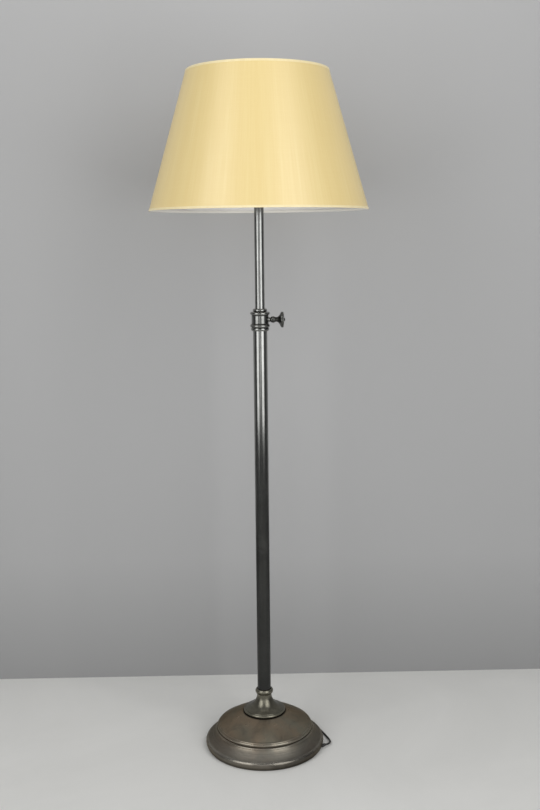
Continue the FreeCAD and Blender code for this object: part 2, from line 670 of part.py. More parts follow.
def make_socket():
    turned("socket_cap", [
        ("nipple_radius", "socket_foot"),
        ("nipple_radius + 2.4", "socket_foot"),
        ("nipple_radius + 2.8", "socket_foot + 4", "0 - 14"),
        ("socket_radius - 2", "socket_foot + 12", "8"),
        ("socket_radius + socket_wall", "socket_foot + 16"),
        ("socket_radius + socket_wall", "core_foot + 2"),
        ("socket_radius", "core_foot + 2"),
        ("socket_radius", "socket_foot + 16.2", "0 - 7"),
        ("socket_radius - 3", "socket_foot + 12.6", "14"),
        ("nipple_radius + 2", "socket_foot + 5"),
        ("nipple_radius", "socket_foot + 5")])
    shell = turned("socket_shell", [
        ("socket_radius - socket_wall", "core_foot - 1.6"),
        ("socket_radius", "core_foot - 1.6"),
        ("socket_radius", "socket_head - 2.4", "1.5"),
        ("socket_radius", "socket_head"),
        ("socket_radius - socket_wall", "socket_head")])
    liner = ring("socket_liner", "socket_radius - socket_wall - 0.1", "socket_radius - socket_wall - 0.7",
                 "core_foot", "socket_head - 2")
    core = turned("socket_core", [
        ("0", "core_foot"),
        ("core_radius - 1", "core_foot"),
        ("core_radius", "core_foot + 1"),
        ("core_radius", "core_head"),
        ("0", "core_head")])
    for body, radius in ((shell, "key_radius + 0.6"), (liner, "key_radius + 0.6"),
                         (core, "key_radius + running")):
        circle = draw_circle(new_sketch(body, "XZ", body.Label + "_key_circle"), radius, "0", "key_height")
        pocket(body, circle, body.Label + "_key_hole", "socket_radius + 2", reverse=True)
        doc.recompute()
    turned("screw_shell", [
        ("4", "core_head"),
        ("thread_radius + 0.6", "core_head"),
        ("thread_radius + 0.6", "socket_head - 2.6"),
        ("thread_radius", "socket_head - 2.6"),
        ("thread_radius", "core_head + 0.6"),
        ("4", "core_head + 0.6")])
    turned("centre_contact", [
        ("0", "core_head"), ("3.4", "core_head"), ("3.4", "core_head + 1"),
        ("2", "lamp_foot"), ("0", "lamp_foot")])
    turned("bulb_cap", [
        ("0", "lamp_foot"),
        ("4", "lamp_foot"),
        ("lamp_cap - 3", "lamp_foot + 3.4"),
        ("lamp_cap", "lamp_foot + 5"),
        ("lamp_cap", "lamp_foot + 24"),
        ("lamp_cap - 0.6", "lamp_foot + 24"),
        ("lamp_cap - 0.6", "lamp_foot + 5.4"),
        ("lamp_cap - 3.4", "lamp_foot + 4.2"),
        ("4", "lamp_foot + 1.2"),
        ("0", "lamp_foot + 1.2")])
    belly = "lamp_foot + lamp_height - lamp_radius - sqrt(8 * lamp_radius - 16)"
    turned("bulb_glass", [
        ("lamp_cap", "lamp_foot + 24"),
        ("lamp_cap + 1", "lamp_foot + 30", "0 - 60"),
        ("lamp_radius - 4", belly, "lamp_radius"),
        ("0", "lamp_foot + lamp_height"),
        ("0", "lamp_foot + lamp_height - 1", "0 - lamp_radius + 1"),
        ("lamp_radius - 4.8", belly + " + 0.1", "60"),
        ("lamp_cap - 0.2", "lamp_foot + 30"),
        ("lamp_cap - 1.2", "lamp_foot + 24")])


def make_switch_key():
    key = turned("switch_key", [
        ("0", "8"),
        ("key_radius", "8"),
        ("key_radius", "24"),
        ("key_radius + 1.4", "24"),
        ("key_radius + 2", "25.5"),
        ("key_radius + 2", "27"),
        ("6.4", "28.2"),
        ("6.8", "38"),
        ("5.6", "39.4"),
        ("0", "39.8")])
    flute = draw_circle(new_sketch(key, "XY", "flute_circle"), "key_radius - 1.2", "7.2", "0")
    flute.AttachmentOffset = Placement(Vector(0, 0, 27.6), Rotation())
    groove = pocket(key, flute, "flute", "flute_length", reverse=True)
    doc.recompute()
    flutes = key.newObject("PartDesign::PolarPattern", "flutes")
    flutes.Originals = [groove]
    flutes.Axis = (flute, ["N_Axis"])
    flutes.Angle = 360
    flutes.setExpression("Occurrences", formula("flute_count"))
    key.Tip = flutes
    place(key, up="key_height", rotation=Rotation(RIGHT, 90))


# ---------------------------------------------------------------- shade

LEAN = "((shade_wide - shade_narrow) / (shade_top - shade_bottom))"


def shade_radius(inset, height):
    """Formula of the shade's radius at a height, less an inset."""
    return "shade_wide - (%s) - (%s - shade_bottom) * %s" % (inset, height, LEAN)


def slanted(label, outer_inset, thickness):
    """One layer of the shade's wall."""
    foot = "shade_bottom + fold"
    head = "shade_top - fold"
    inner_inset = outer_inset + " + " + thickness
    return turned(label, [
        (shade_radius(outer_inset, foot), foot),
        (shade_radius(outer_inset, head), head),
        (shade_radius(inner_inset, head), head),
        (shade_radius(inner_inset, foot), foot)])


def folded_trim(label, edge, way):
    """A strip folded over an edge and its wire; way is 1 at the lower edge and -1 at the upper."""
    lap = "%s + %d * fold_depth" % (edge, way)
    turn_in = "%s + %d * fold" % (edge, way)
    return turned(label, [
        (shade_radius("0", edge), edge),
        (shade_radius("0", lap), lap),
        (shade_radius("fold", lap), lap),
        (shade_radius("fold", turn_in), turn_in),
        (shade_radius("trim_width - fold", turn_in), turn_in),
        (shade_radius("trim_width - fold", lap), lap),
        (shade_radius("trim_width", lap), lap),
        (shade_radius("trim_width", edge), edge)])


def make_shade():
    slanted("shade_fabric", "fold", "fabric")
    slanted("shade_lining", "fold + fabric", "lining")
    folded_trim("bottom_trim", "shade_bottom", 1)
    folded_trim("top_trim", "shade_top", -1)
    inset = "fold + fabric + lining + ring_wire + 0.3"
    for label, height in (("bottom_ring", "shade_bottom + fold + ring_wire + 0.1"),
                          ("top_ring", "shade_top - fold - ring_wire - 0.1")):
        wire = doc.addObject("Part::Torus", label)
        wire.Label = label
        wire.setExpression("Radius1", formula(shade_radius(inset, height)))
        wire.setExpression("Radius2", formula("ring_wire"))
        place(wire, up=height)
        keep(wire)

    hub = new_body("hub")
    pieces.remove(hub)
    revolve(hub, [
        ("hub_hole", "0"),
        ("hub_radius", "0"),
        ("hub_radius", "hub_thick"),
        ("hub_hole", "hub_thick")], "hub_turn")
    place(hub, up="hub_height")
    root = Vector(size("hub_radius - 6.5"), 0, size("hub_height + hub_thick / 2"))
    tip = Vector(size(shade_radius(inset, "shade_top - 2")) - 0.3, 0, size("shade_top - fold - 2 * arm_wire"))
    arms = []
    for number in range(int(size("arm_count"))):
        turn = Rotation(UP, 90 + 360 * number / size("arm_count"))
        arm = doc.addObject("Part::Cylinder", "arm_%d" % number)
        arm.setExpression("Radius", formula("arm_wire"))
        arm.Height = (tip - root).Length
        arm.Placement = Placement(turn.multVec(root), Rotation(UP, turn.multVec(tip - root)))
        arms.append(arm)
    spider = doc.addObject("Part::MultiFuse", "spider")
    spider.Shapes = [hub] + arms
    spider.Label = "spider"
    keep(spider)


def make_finial():
    seat = "hub_height + hub_thick"
    turned("finial", [
        ("5.9", seat),
        ("8", seat),
        ("8", seat + " + 1.6"),
        ("6.4", seat + " + 2.4", "0 - 4"),
        ("4.2", seat + " + 6.4"),
        ("4.2", seat + " + 7.6"),
        ("5", seat + " + 8.4", "6.6"),
        ("2.6", seat + " + 19.4"),
        ("2.6", seat + " + 22", "2.6"),
        ("0", seat + " + 24.6"),
        ("0", seat + " + 13.2"),
        ("3.1 + running", seat + " + 13.2"),
        ("3.1 + running", seat + " + 0.6"),
        ("5.9", seat + " + 0.6")])


# ---------------------------------------------------------------- cord

def cord_placement(offset):
    """Along the way in which the cord leaves the base, offset from the shell's outside."""
    angle = math.radians(size("exit_angle"))
    heading = math.radians(size("exit_heading"))
    radius = size("exit_radius")
    way = Vector(math.cos(heading), math.sin(heading), 0)
    outside = Vector(radius * math.cos(angle), radius * math.sin(angle), size("lead_height"))
    return Placement(outside + way * offset, Rotation(UP, way))


def make_grommet():
    bore = "lead_radius"
    relief = turned("strain_relief", [
        (bore, "0 - 10.5"),
        ("lead_radius + 2.5", "0 - 10.5"),
        ("lead_radius + 2.5", "0 - 7.5"),
        ("lead_radius + 1.7", "0 - 7"),
        ("lead_radius + 1.6", "2"),
        ("lead_radius + 0.6", "relief_length"),
        (bore, "relief_length")])
    relief.Placement = cord_placement(0)


def coil_route(centre, height):
    """Wire of the put-away coil: in through one layer, up, and out through the next.

    It starts and ends at the front of its outermost turn, with a straight of one cord
    diameter that runs towards -X."""
    outer = size("coil_outer")
    pitch = size("coil_pitch")
    layer = size("coil_layer")
    halves = int(round(2 * size("coil_turns")))
    steps = [float(step) for step in range(halves)]
    steps += [halves - 0.5, float(halves), halves + 0.5]
    steps += [float(step) for step in range(halves + 1, 2 * halves + 1)]
    places = []
    for step in steps:
        radius = outer - min(step, 2 * halves - step) * pitch / 2
        climbed = min(max(step - halves + 0.5, 0), 1)
        angle = -math.pi / 2 - step * math.pi
        out = Vector(math.cos(angle), math.sin(angle), 0)
        onward = Vector(math.sin(angle), -math.cos(angle), 0)
        growth = 0
        if step not in (0, halves, 2 * halves):
            growth = pitch / 2 / math.pi * (1 if step > halves else -1)
        lift = 2 * layer / math.pi if step == halves else 0
        way = (onward * radius + out * growth + UP * lift).normalize()
        places.append((centre + out * radius + UP * (height + climbed * layer), way))
    straight = 2 * size("lead_radius")
    begin = places[0][0] - places[0][1] * straight
    finish = places[-1][0] + places[-1][1] * straight
    edges = [Part.LineSegment(begin, places[0][0]).toShape()]
    for (start, start_way), (end, end_way) in zip(places, places[1:]):
        edges += biarc(start, start_way, end, end_way)
    edges.append(Part.LineSegment(places[-1][0], finish).toShape())
    return edges, begin, finish


def least_gap(edges, radius):
    """Least gap between turns of a coil, on points along its axis."""
    points = []
    travelled = 0
    for edge in edges:
        for point in edge.discretize(13)[:-1]:
            points.append((travelled, point))
            travelled += edge.Length / 12
    least = 1e9
    apart = 12 * radius
    for number, (begin, first) in enumerate(points):
        for later, second in points[number + 1:]:
            if later - begin > apart:
                least = min(least, first.distanceToPoint(second))
    return least - 2 * radius


def make_cord():
    radius = size("lead_radius")
    floor_level = radius + 0.15
    coil_edges, coil_begin, coil_finish = coil_route(Vector(-3, 190.3, 0), floor_level)
    coil_wire = Part.Wire(coil_edges)
    coil = tube(coil_wire, radius, coil_begin, Vector(-1, 0, 0))
    ideal = math.pi * radius ** 2 * coil_wire.Length
    print("cord_coil: length %.1f, least gap %.2f, volume %.3f of the ideal"
          % (coil_wire.Length, least_gap(coil_edges, radius), coil.Volume / ideal))
    shaped("cord_coil", coil)

    leave = cord_placement(size("relief_length"))
    start = leave.Base
    bent_rod("cord_run", [
        start,
        start + leave.Rotation.multVec(UP) * 6,
        Vector(158.8, -19.9, 5.6),
        Vector(161.4, -12.9, 4.8),
        Vector(161.1, -4.4, 3.9),
        Vector(158.4, 7.3, 3.1),
        Vector(153.6, 22.0, 2.6),
        Vector(146.8, 39.6, floor_level),
        Vector(135.7, 66.2, floor_level),
        Vector(120.6, 90.9, floor_level),
        Vector(101.0, 112.2, floor_level),
        Vector(77.8, 129.4, floor_level),
        Vector(52.9, 141.4, floor_level),
        Vector(31.0, 148.2, floor_level),
        Vector(14.5, coil_begin.y, floor_level),
        coil_begin], radius)

    plug_back = Vector(coil_finish.x - 36, coil_finish.y - 2, 7.2)
    bent_rod("cord_tail", [
        coil_finish,
        coil_finish + Vector(-9, 0, 0),
        coil_finish + Vector(-18, -0.9, -0.1),
        Vector(plug_back.x + 9, plug_back.y, plug_back.z),
        plug_back], radius)
    make_plug(plug_back)


def make_plug(back):
    """Flat two-blade plug that lies on its side face and points along -X."""
    turn = Rotation(Vector(0, 1, 0), -90)
    loft_body = new_body("plug_body")
    sections = []
    for number, (along, half_width, half_height) in enumerate(((0, 4.2, 4.2), (8, 8.4, 6), (26, 10.5, 6.9))):
        sketch = new_sketch(loft_body, "XY", "plug_section_%d" % number)
        corner = 3.2
        draw(sketch, [
            ("%s" % (half_height - corner), "%s" % -half_width, "%s" % corner),
            ("%s" % half_height, "%s" % (corner - half_width)),
            ("%s" % half_height, "%s" % (half_width - corner), "%s" % corner),
            ("%s" % (half_height - corner), "%s" % half_width),
            ("%s" % (corner - half_height), "%s" % half_width, "%s" % corner),
            ("%s" % -half_height, "%s" % (half_width - corner)),
            ("%s" % -half_height, "%s" % (corner - half_width), "%s" % corner),
            ("%s" % (corner - half_height), "%s" % -half_width)])
        sketch.AttachmentOffset = Placement(Vector(0, 0, along), Rotation())
        sections.append(sketch)
    loft = loft_body.newObject("PartDesign::AdditiveLoft", "plug_loft")
    loft.Profile = sections[0]
    loft.Sections = sections[1:]
    loft_body.Placement = Placement(back, turn)

    blades = new_body("plug_blades")
    section = new_sketch(blades, "XY", "blade_section")
    for middle, half in (("blade_apart / 2", "3.2"), ("0 - blade_apart / 2", "3.95")):
        near = middle + " - blade_thick / 2"
        far = middle + " + blade_thick / 2"
        draw(section, [("0 - " + half, near), (half, near), (half, far), ("0 - " + half, far)])
    section.AttachmentOffset = Placement(Vector(0, 0, 26), Rotation())
    pad(blades, section, "blade_length", "blade_pair")
    doc.recompute()
    hole = draw_circle(new_sketch(blades, "XZ", "blade_circle"), "blade_thick", "0", "22.6 + blade_length")
    pocket(blades, hole, "blade_holes")
    blades.Placement = Placement(back, turn)


def make_inner_leads():
    radius = size("lead_radius")
    inside = cord_placement(-10.5)
    way = inside.Rotation.multVec(UP)
    start = inside.Base
    level = start.z
    bent_rod("base_lead", [
        start,
        start - way * 15,
        Vector(88, -38, level),
        Vector(58, -26, level),
        Vector(30, -12.5, level),
        Vector(0, 0, level),
        Vector(0, 0, 42),
        Vector(0.8, 0, 78),
        Vector(0, 0, 115),
        Vector(0, 0, size("pipe_head + 18"))], radius)

    foot = size("pipe_head + 18")
    head = size("tube_head - rise - stop_length - 0.5")
    runs = 12
    step = (head - foot) / runs
    slack = [Vector(0, 0, foot)]
    for number in range(1, runs):
        turn = math.radians(360 * (number - 1) / (runs - 2))
        slack.append(Vector(7 * math.sin(turn), 2 - 2 * math.cos(turn), foot + number * step))
    slack.append(Vector(0, 0, head))
    bent_rod("slack_lead", slack, radius)
    turned("stem_lead", [
        ("0", "tube_head - rise - stop_length - 0.5"),
        ("lead_radius", "tube_head - rise - stop_length - 0.5"),
        ("lead_radius", "core_foot"),
        ("0", "core_foot")])


# ---------------------------------------------------------------- assembly

def faults(objects):
    """What failed, and which pieces aren't one or more valid solids."""
    found = []
    for thing in objects:
        if "Invalid" in thing.State or "Error" in thing.State:
            found.append("failed: " + thing.Label)
    for piece in pieces:
        shape = piece.Shape
        if shape.isNull() or not shape.isValid() or not shape.Solids:
            found.append("no valid solid: " + piece.Label)
    return found


make_base()
make_neck()
make_collar()
make_thumb_screw()
make_upper_tube()
make_saddle()
make_harp()
make_socket()
make_switch_key()
make_shade()
make_finial()
make_grommet()
make_cord()
make_inner_leads()
doc.recompute()
problems = faults(doc.Objects)
if problems:
    raise RuntimeError("; ".join(problems))

os.makedirs("parts", exist_ok=True)
for piece in pieces:
    piece.Shape.exportStep("parts/%s.step" % piece.Label)
print("%d pieces written" % len(pieces))
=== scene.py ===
import math

import bmesh
import bpy
from mathutils import Matrix, Vector


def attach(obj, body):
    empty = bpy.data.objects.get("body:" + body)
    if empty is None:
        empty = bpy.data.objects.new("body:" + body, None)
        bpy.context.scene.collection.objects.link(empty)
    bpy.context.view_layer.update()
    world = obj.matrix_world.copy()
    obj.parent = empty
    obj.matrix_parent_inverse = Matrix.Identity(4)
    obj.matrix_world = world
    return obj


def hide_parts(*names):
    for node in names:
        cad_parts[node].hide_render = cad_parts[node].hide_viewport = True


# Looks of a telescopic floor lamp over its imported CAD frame. Metres, +Z up, front towards -Y.
# Profiles, the cord's route and the sizes in capitals are in millimetres, as in the part's source.

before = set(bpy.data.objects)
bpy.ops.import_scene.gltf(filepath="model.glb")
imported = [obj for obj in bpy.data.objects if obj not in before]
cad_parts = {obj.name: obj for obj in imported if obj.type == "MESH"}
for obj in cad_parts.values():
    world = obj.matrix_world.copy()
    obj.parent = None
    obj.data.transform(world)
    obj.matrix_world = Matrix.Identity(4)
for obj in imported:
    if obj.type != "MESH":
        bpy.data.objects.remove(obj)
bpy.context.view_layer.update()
scene = bpy.context.scene
scene.view_settings.view_transform = "Standard"

MM = 0.001
UP = Vector((0, 0, 1))

# Driving radii and heights.
TUBE = 16.4
TUBE_FOOT = 112
TUBE_HEAD = 1031
SLIM = 11.1
SLIM_FOOT = 866.5
SLIM_HEAD = 1310
BUSH = 15.12
BARREL = 19.7
COLLAR_HEAD = 1064.1
SCREW_HEIGHT = 1046
HOLDER = 16.45
KEY_HEIGHT = 1343
FINIAL_SEAT = 1571.6
SHADE_FOOT = 1294.0
SHADE_HEAD = 1600.0
SHADE_WIDE = 249.1
SHADE_NARROW = 159.9


# ---------------------------------------------------------------- camera

def make_camera():
    """Camera at the photograph's place: 1236 mm up, 2365 mm in front, a little to the right.

    The focal length is in pixels of a picture of that height.
    """
    sensor = 36
    picture_height = 810
    focal_length = 1023
    pitch_down = 9.37
    roll = -0.57
    data = bpy.data.cameras.new("camera")
    data.sensor_width = sensor
    data.lens = focal_length / picture_height * sensor
    data.clip_end = 60
    camera = bpy.data.objects.new("camera", data)
    scene.collection.objects.link(camera)
    camera.matrix_world = (
        Matrix.Translation((0.021, -2.365, 1.236))
        @ Matrix.Rotation(math.radians(90 - pitch_down), 4, "X")
        @ Matrix.Rotation(math.radians(roll), 4, "Z"))
    scene.camera = camera


# ---------------------------------------------------------------- shader helpers

def node(tree, kind, inputs=(), **settings):
    """A shader node with its settings; inputs are (socket, value or output) pairs."""
    made = tree.nodes.new("ShaderNode" + kind)
    for name, value in settings.items():
        setattr(made, name, value)
    for socket, value in inputs:
        if isinstance(value, bpy.types.NodeSocket):
            tree.links.new(value, made.inputs[socket])
        else:
            made.inputs[socket].default_value = value
    return made


def maths(tree, operation, first, second=0.0):
    return node(tree, "Math", ((0, first), (1, second)), operation=operation).outputs[0]


def spread(tree, value, low, high, to_low=0.0, to_high=1.0):
    """A value mapped from one span to another, held at both ends."""
    made = node(tree, "MapRange", (
        ("Value", value), ("From Min", low), ("From Max", high), ("To Min", to_low), ("To Max", to_high)))
    return made.outputs["Result"]


def band(tree, value, start, full, fading, end):
    """1 from full to fading, and 0 before start and after end."""
    return maths(tree, "MULTIPLY", spread(tree, value, start, full), spread(tree, value, end, fading))


def blend(tree, amount, first, second, how="MIX"):
    made = node(tree, "Mix", (), data_type="RGBA", blend_type=how)
    for index, value in ((0, amount), (6, first), (7, second)):
        if isinstance(value, bpy.types.NodeSocket):
            tree.links.new(value, made.inputs[index])
        elif index:
            made.inputs[index].default_value = (*value, 1)
        else:
            made.inputs[index].default_value = value
    return made.outputs[2]


def place_of(tree):
    return node(tree, "TexCoord").outputs["Object"]


def stretched(tree, scale):
    """Object coordinates in metres, multiplied along each axis."""
    return node(tree, "Mapping", (("Vector", place_of(tree)), ("Scale", scale))).outputs[0]


def split(tree):
    """The three object coordinates, in metres."""
    return node(tree, "SeparateXYZ", ((0, place_of(tree)),)).outputs


def girth_of(tree, place):
    """Distance from the pole's axis."""
    across = maths(tree, "POWER", place[0], 2.0)
    back = maths(tree, "POWER", place[1], 2.0)
    return maths(tree, "SQRT", maths(tree, "ADD", across, back))


def around(tree, across, up):
    """Coordinates wrapped round the shade: along its girth, then up. The join is at the back."""
    radius = 0.205
    place = split(tree)
    ahead = maths(tree, "MULTIPLY", place[1], -1.0)
    girth = maths(tree, "ARCTAN2", place[0], ahead)
    girth = maths(tree, "MULTIPLY", girth, radius * across)
    height = maths(tree, "MULTIPLY", place[2], up)
    return node(tree, "CombineXYZ", ((0, girth), (1, height))).outputs[0]


def speckle(tree, where, scale, detail=4.0, rough=0.55, twist=0.0):
    made = node(tree, "TexNoise", (
        ("Vector", where), ("Scale", scale), ("Detail", detail), ("Roughness", rough),
        ("Distortion", twist)))
    return made.outputs["Fac"]


def attribute(tree, name):
    return node(tree, "Attribute", (), attribute_name=name).outputs["Fac"]


def bumped(tree, height, strength, distance, onto=None):
    made = node(tree, "Bump", (("Height", height), ("Strength", strength), ("Distance", distance)))
    if onto is not None:
        tree.links.new(onto, made.inputs["Normal"])
    return made.outputs[0]


def new_material(name):
    """A material with its principled shader: (material, tree, shader)."""
    material = bpy.data.materials.new(name)
    material.use_nodes = True
    tree = material.node_tree
    return material, tree, tree.nodes["Principled BSDF"]


def wire(tree, shader, **sockets):
    """Link outputs to the shader's sockets; underscores in names stand for spaces."""
    for name, value in sockets.items():
        socket = shader.inputs[name.replace("_", " ")]
        if isinstance(value, bpy.types.NodeSocket):
            tree.links.new(value, socket)
        else:
            socket.default_value = value


# ---------------------------------------------------------------- materials

def metal(name, deep, middle, bright, rough, patch, streak, amount, painted_shade_low=None):
    """Metal that is mottled, streaked, rubbed bright on its edges and dull in its grooves.

    patch is how fine the mottling is, streak how fine the streaks are along each axis, and amount
    how strong they are. The last argument, (low, high, share), is painted shade that darkens the
    metal towards the bottom: two heights in metres and a share, so that below low only that share of
    the colour is left, and above high all of it.
    """
    material, tree, shader = new_material(name)
    cloud = speckle(tree, place_of(tree), patch, 5.0, 0.6, 0.6)
    fine = speckle(tree, place_of(tree), patch * 11, 4.0, 0.65)
    colour = blend(tree, spread(tree, cloud, 0.36, 0.66), deep, middle)
    colour = blend(tree, spread(tree, fine, 0.52, 0.76, 0.0, 0.45), colour, bright)
    lines = speckle(tree, stretched(tree, streak), 1.0, 3.0, 0.6)
    colour = blend(tree, spread(tree, lines, 0.35, 0.7, 0.0, amount), colour, deep)
    worn = maths(tree, "MULTIPLY", attribute(tree, "wear"), spread(tree, fine, 0.3, 0.62, 0.35, 1.0))
    colour = blend(tree, worn, colour, bright)
    # Painted shade: the colour darkens towards the bottom of the piece.
    if painted_shade_low:
        low, high, share = painted_shade_low
        height = maths(tree, "ADD", split(tree)[2], spread(tree, cloud, 0.3, 0.7, -0.04, 0.04))
        dark = spread(tree, height, low, high, 1.0 - share, 0.0)
        colour = blend(tree, dark, colour, (0.0, 0.0, 0.0))
    grime = attribute(tree, "grime")
    colour = blend(tree, maths(tree, "MULTIPLY", grime, 0.75), colour, (0.012, 0.010, 0.008))
    dull = spread(tree, cloud, 0.3, 0.7, rough + 0.04, rough - 0.03)
    dull = maths(tree, "ADD", dull, spread(tree, lines, 0.3, 0.7, -0.02, 0.03))
    dull = maths(tree, "ADD", dull, maths(tree, "MULTIPLY", grime, 0.25))
    wire(tree, shader, Base_Color=colour, Roughness=dull, Metallic=1.0)
    relief = bumped(tree, fine, 0.05, 0.0003)
    wire(tree, shader, Normal=bumped(tree, lines, 0.04, 0.0002, relief))
    return material


def bronze():
    """Brown bronze of the base: brown, olive and grey areas, with turned marks round the axis."""
    material, tree, shader = new_material("worn_bronze")
    place = split(tree)
    up = place[2]
    girth = girth_of(tree, place)
    broad = speckle(tree, place_of(tree), 9.0, 3.0, 0.55, 0.8)
    cloud = speckle(tree, place_of(tree), 34.0, 5.0, 0.62, 0.5)
    fine = speckle(tree, place_of(tree), 260.0, 4.0, 0.65)

    brown = (0.255, 0.200, 0.142)
    olive = (0.215, 0.200, 0.155)
    warm = (0.32, 0.250, 0.178)
    dark = (0.090, 0.081, 0.066)
    grey = (0.150, 0.143, 0.128)
    freckle = (0.27, 0.235, 0.18)
    colour = blend(tree, spread(tree, broad, 0.38, 0.62), brown, olive)
    colour = blend(tree, spread(tree, cloud, 0.48, 0.70, 0.0, 0.45), colour, warm)
    colour = blend(tree, spread(tree, cloud, 0.46, 0.30, 0.0, 0.42), colour, dark)
    colour = blend(tree, spread(tree, up, 0.058, 0.030, 0.0, 0.7), colour, grey)
    colour = blend(tree, spread(tree, fine, 0.56, 0.78, 0.0, 0.4), colour, freckle)

    # Rubbed bright on its edges. Along the crest of the lowest roll the bright band is partly wear and partly
    # a painted highlight.
    rubbed = (0.38, 0.36, 0.315)
    worn = maths(tree, "MULTIPLY", attribute(tree, "wear"), spread(tree, cloud, 0.32, 0.6, 0.4, 0.8))
    crest_wear_and_highlight = band(tree, up, 0.0150, 0.0180, 0.0195, 0.0215)
    crest_wear_and_highlight = maths(tree, "MULTIPLY", crest_wear_and_highlight, spread(tree, cloud, 0.32, 0.6, 0.35, 0.6))
    worn = maths(tree, "MAXIMUM", worn, crest_wear_and_highlight)
    colour = blend(tree, worn, colour, rubbed)

    # Painted shade: darker low on the front right.
    painted_side_shade = (0.035, 0.032, 0.028)
    ahead = maths(tree, "MULTIPLY", place[1], -0.75)
    side = maths(tree, "ADD", maths(tree, "MULTIPLY", place[0], 0.66), ahead)
    side = maths(tree, "ADD", side, spread(tree, cloud, 0.3, 0.7, -0.02, 0.02))
    low = spread(tree, up, 0.034, 0.014)
    side_shade_mask = maths(tree, "MULTIPLY", low, spread(tree, side, 0.105, 0.140, 0.0, 0.6))
    colour = blend(tree, side_shade_mask, colour, painted_side_shade)

    # Dirt in the grooves. Painted shade in a ring under and round the bell's foot, and painted contact shade
    # with dirt, darker towards where the base meets the floor.
    dirt = (0.012, 0.009, 0.007)
    painted_shade = (0.016, 0.014, 0.012)
    grime = attribute(tree, "grime")
    colour = blend(tree, maths(tree, "MULTIPLY", grime, 0.85), colour, dirt)
    lip_shade = spread(tree, girth, 0.0545, 0.0515)
    lip_shade = maths(tree, "MULTIPLY", lip_shade, spread(tree, up, 0.075, 0.08))
    floor_shade_and_dirt = spread(tree, up, 0.011, 0.004, 0.0, 0.6)
    colour = blend(tree, maths(tree, "MAXIMUM", lip_shade, floor_shade_and_dirt), colour, painted_shade)

    # Dull in the cove and the grooves, glossier where it is rubbed.
    dull = spread(tree, cloud, 0.3, 0.7, 0.34, 0.26)
    cove = band(tree, up, 0.019, 0.023, 0.036, 0.040)
    dull = maths(tree, "ADD", dull, maths(tree, "MULTIPLY", cove, 0.20))
    dull = maths(tree, "ADD", dull, maths(tree, "MULTIPLY", grime, 0.3))
    dull = maths(tree, "SUBTRACT", dull, maths(tree, "MULTIPLY", worn, 0.06))
    wire(tree, shader, Base_Color=colour, Roughness=dull)
    wire(tree, shader, Metallic=0.85, Specular_Tint=(0.45, 0.42, 0.37, 1))

    fineness = 900.0
    rings = node(tree, "CombineXYZ", (
        (0, maths(tree, "MULTIPLY", girth, fineness)), (1, maths(tree, "MULTIPLY", up, fineness))))
    turned = speckle(tree, rings.outputs[0], 1.0, 2.0, 0.5)
    relief = bumped(tree, turned, 0.45, 0.0002)
    relief = bumped(tree, cloud, 0.20, 0.0012, relief)
    wire(tree, shader, Normal=bumped(tree, fine, 0.12, 0.0004, relief))
    return material


def silk():
    """Golden silk, woven with upright slubs and a finer weft, softly glossy."""
    material, tree, shader = new_material("golden_silk")
    slub = speckle(tree, around(tree, 330, 7), 1.0, 4.0, 0.6)
    broad = speckle(tree, around(tree, 60, 1.2), 1.0, 3.0, 0.5)
    weft = speckle(tree, around(tree, 9, 900), 1.0, 3.0, 0.6)
    warp = speckle(tree, around(tree, 2600, 22), 1.0, 2.0, 0.5)
    colour = blend(tree, spread(tree, slub, 0.3, 0.72), (0.765, 0.600, 0.272), (0.800, 0.643, 0.312))
    colour = blend(tree, spread(tree, broad, 0.35, 0.65, 0.0, 0.4), colour, (0.750, 0.575, 0.250))
    colour = blend(tree, spread(tree, weft, 0.5, 0.8, 0.0, 0.2), colour, (0.88, 0.73, 0.38))
    wire(tree, shader, Base_Color=colour, Specular_IOR_Level=0.6)
    wire(tree, shader, Roughness=spread(tree, slub, 0.3, 0.7, 0.37, 0.31))
    wire(tree, shader, Sheen_Weight=0.02, Sheen_Roughness=0.45, Sheen_Tint=(1.0, 0.93, 0.76, 1))
    relief = bumped(tree, warp, 0.10, 0.0002)
    relief = bumped(tree, weft, 0.10, 0.0002, relief)
    wire(tree, shader, Normal=bumped(tree, slub, 0.10, 0.0003, relief))
    return material


def tape():
    """Folded edge tape, cut from the same silk across the grain, with its inner lap painted pale: painted
    light inside the shade.
    """
    material, tree, shader = new_material("edge_tape")
    rib = speckle(tree, around(tree, 1500, 60), 1.0, 3.0, 0.6)
    cloud = speckle(tree, around(tree, 60, 60), 1.0, 3.0, 0.5)
    colour = blend(tree, spread(tree, rib, 0.3, 0.7), (0.80, 0.66, 0.36), (0.90, 0.79, 0.50))
    colour = blend(tree, spread(tree, cloud, 0.4, 0.7, 0.0, 0.3), colour, (0.74, 0.59, 0.30))
    # Painted light: where the tape lies inside the outer cone, it is painted paler.
    place = split(tree)
    outside = spread(
        tree, place[2], SHADE_FOOT * MM, SHADE_HEAD * MM, SHADE_WIDE * MM, SHADE_NARROW * MM)
    depth = maths(tree, "SUBTRACT", outside, girth_of(tree, place))
    painted_inner_light = (0.90, 0.875, 0.80)
    colour = blend(tree, spread(tree, depth, 0.002, 0.004), colour, painted_inner_light)
    wire(tree, shader, Base_Color=colour, Roughness=0.5, Sheen_Weight=0.2)
    wire(tree, shader, Normal=bumped(tree, rib, 0.25, 0.0002))
    return material


def smooth_plastic(name, colour, other, rough, patch, relief):
    """Moulded, coated or fibrous surface with slight colour drift and a fine grain."""
    material, tree, shader = new_material(name)
    cloud = speckle(tree, place_of(tree), patch, 4.0, 0.55)
    grain = speckle(tree, place_of(tree), patch * 14, 3.0, 0.6)
    shade = blend(tree, spread(tree, cloud, 0.35, 0.68), colour, other)
    wire(tree, shader, Base_Color=shade)
    wire(tree, shader, Roughness=spread(tree, cloud, 0.3, 0.7, rough + 0.05, rough - 0.04))
    wire(tree, shader, Normal=bumped(tree, grain, relief, 0.0003))
    return material


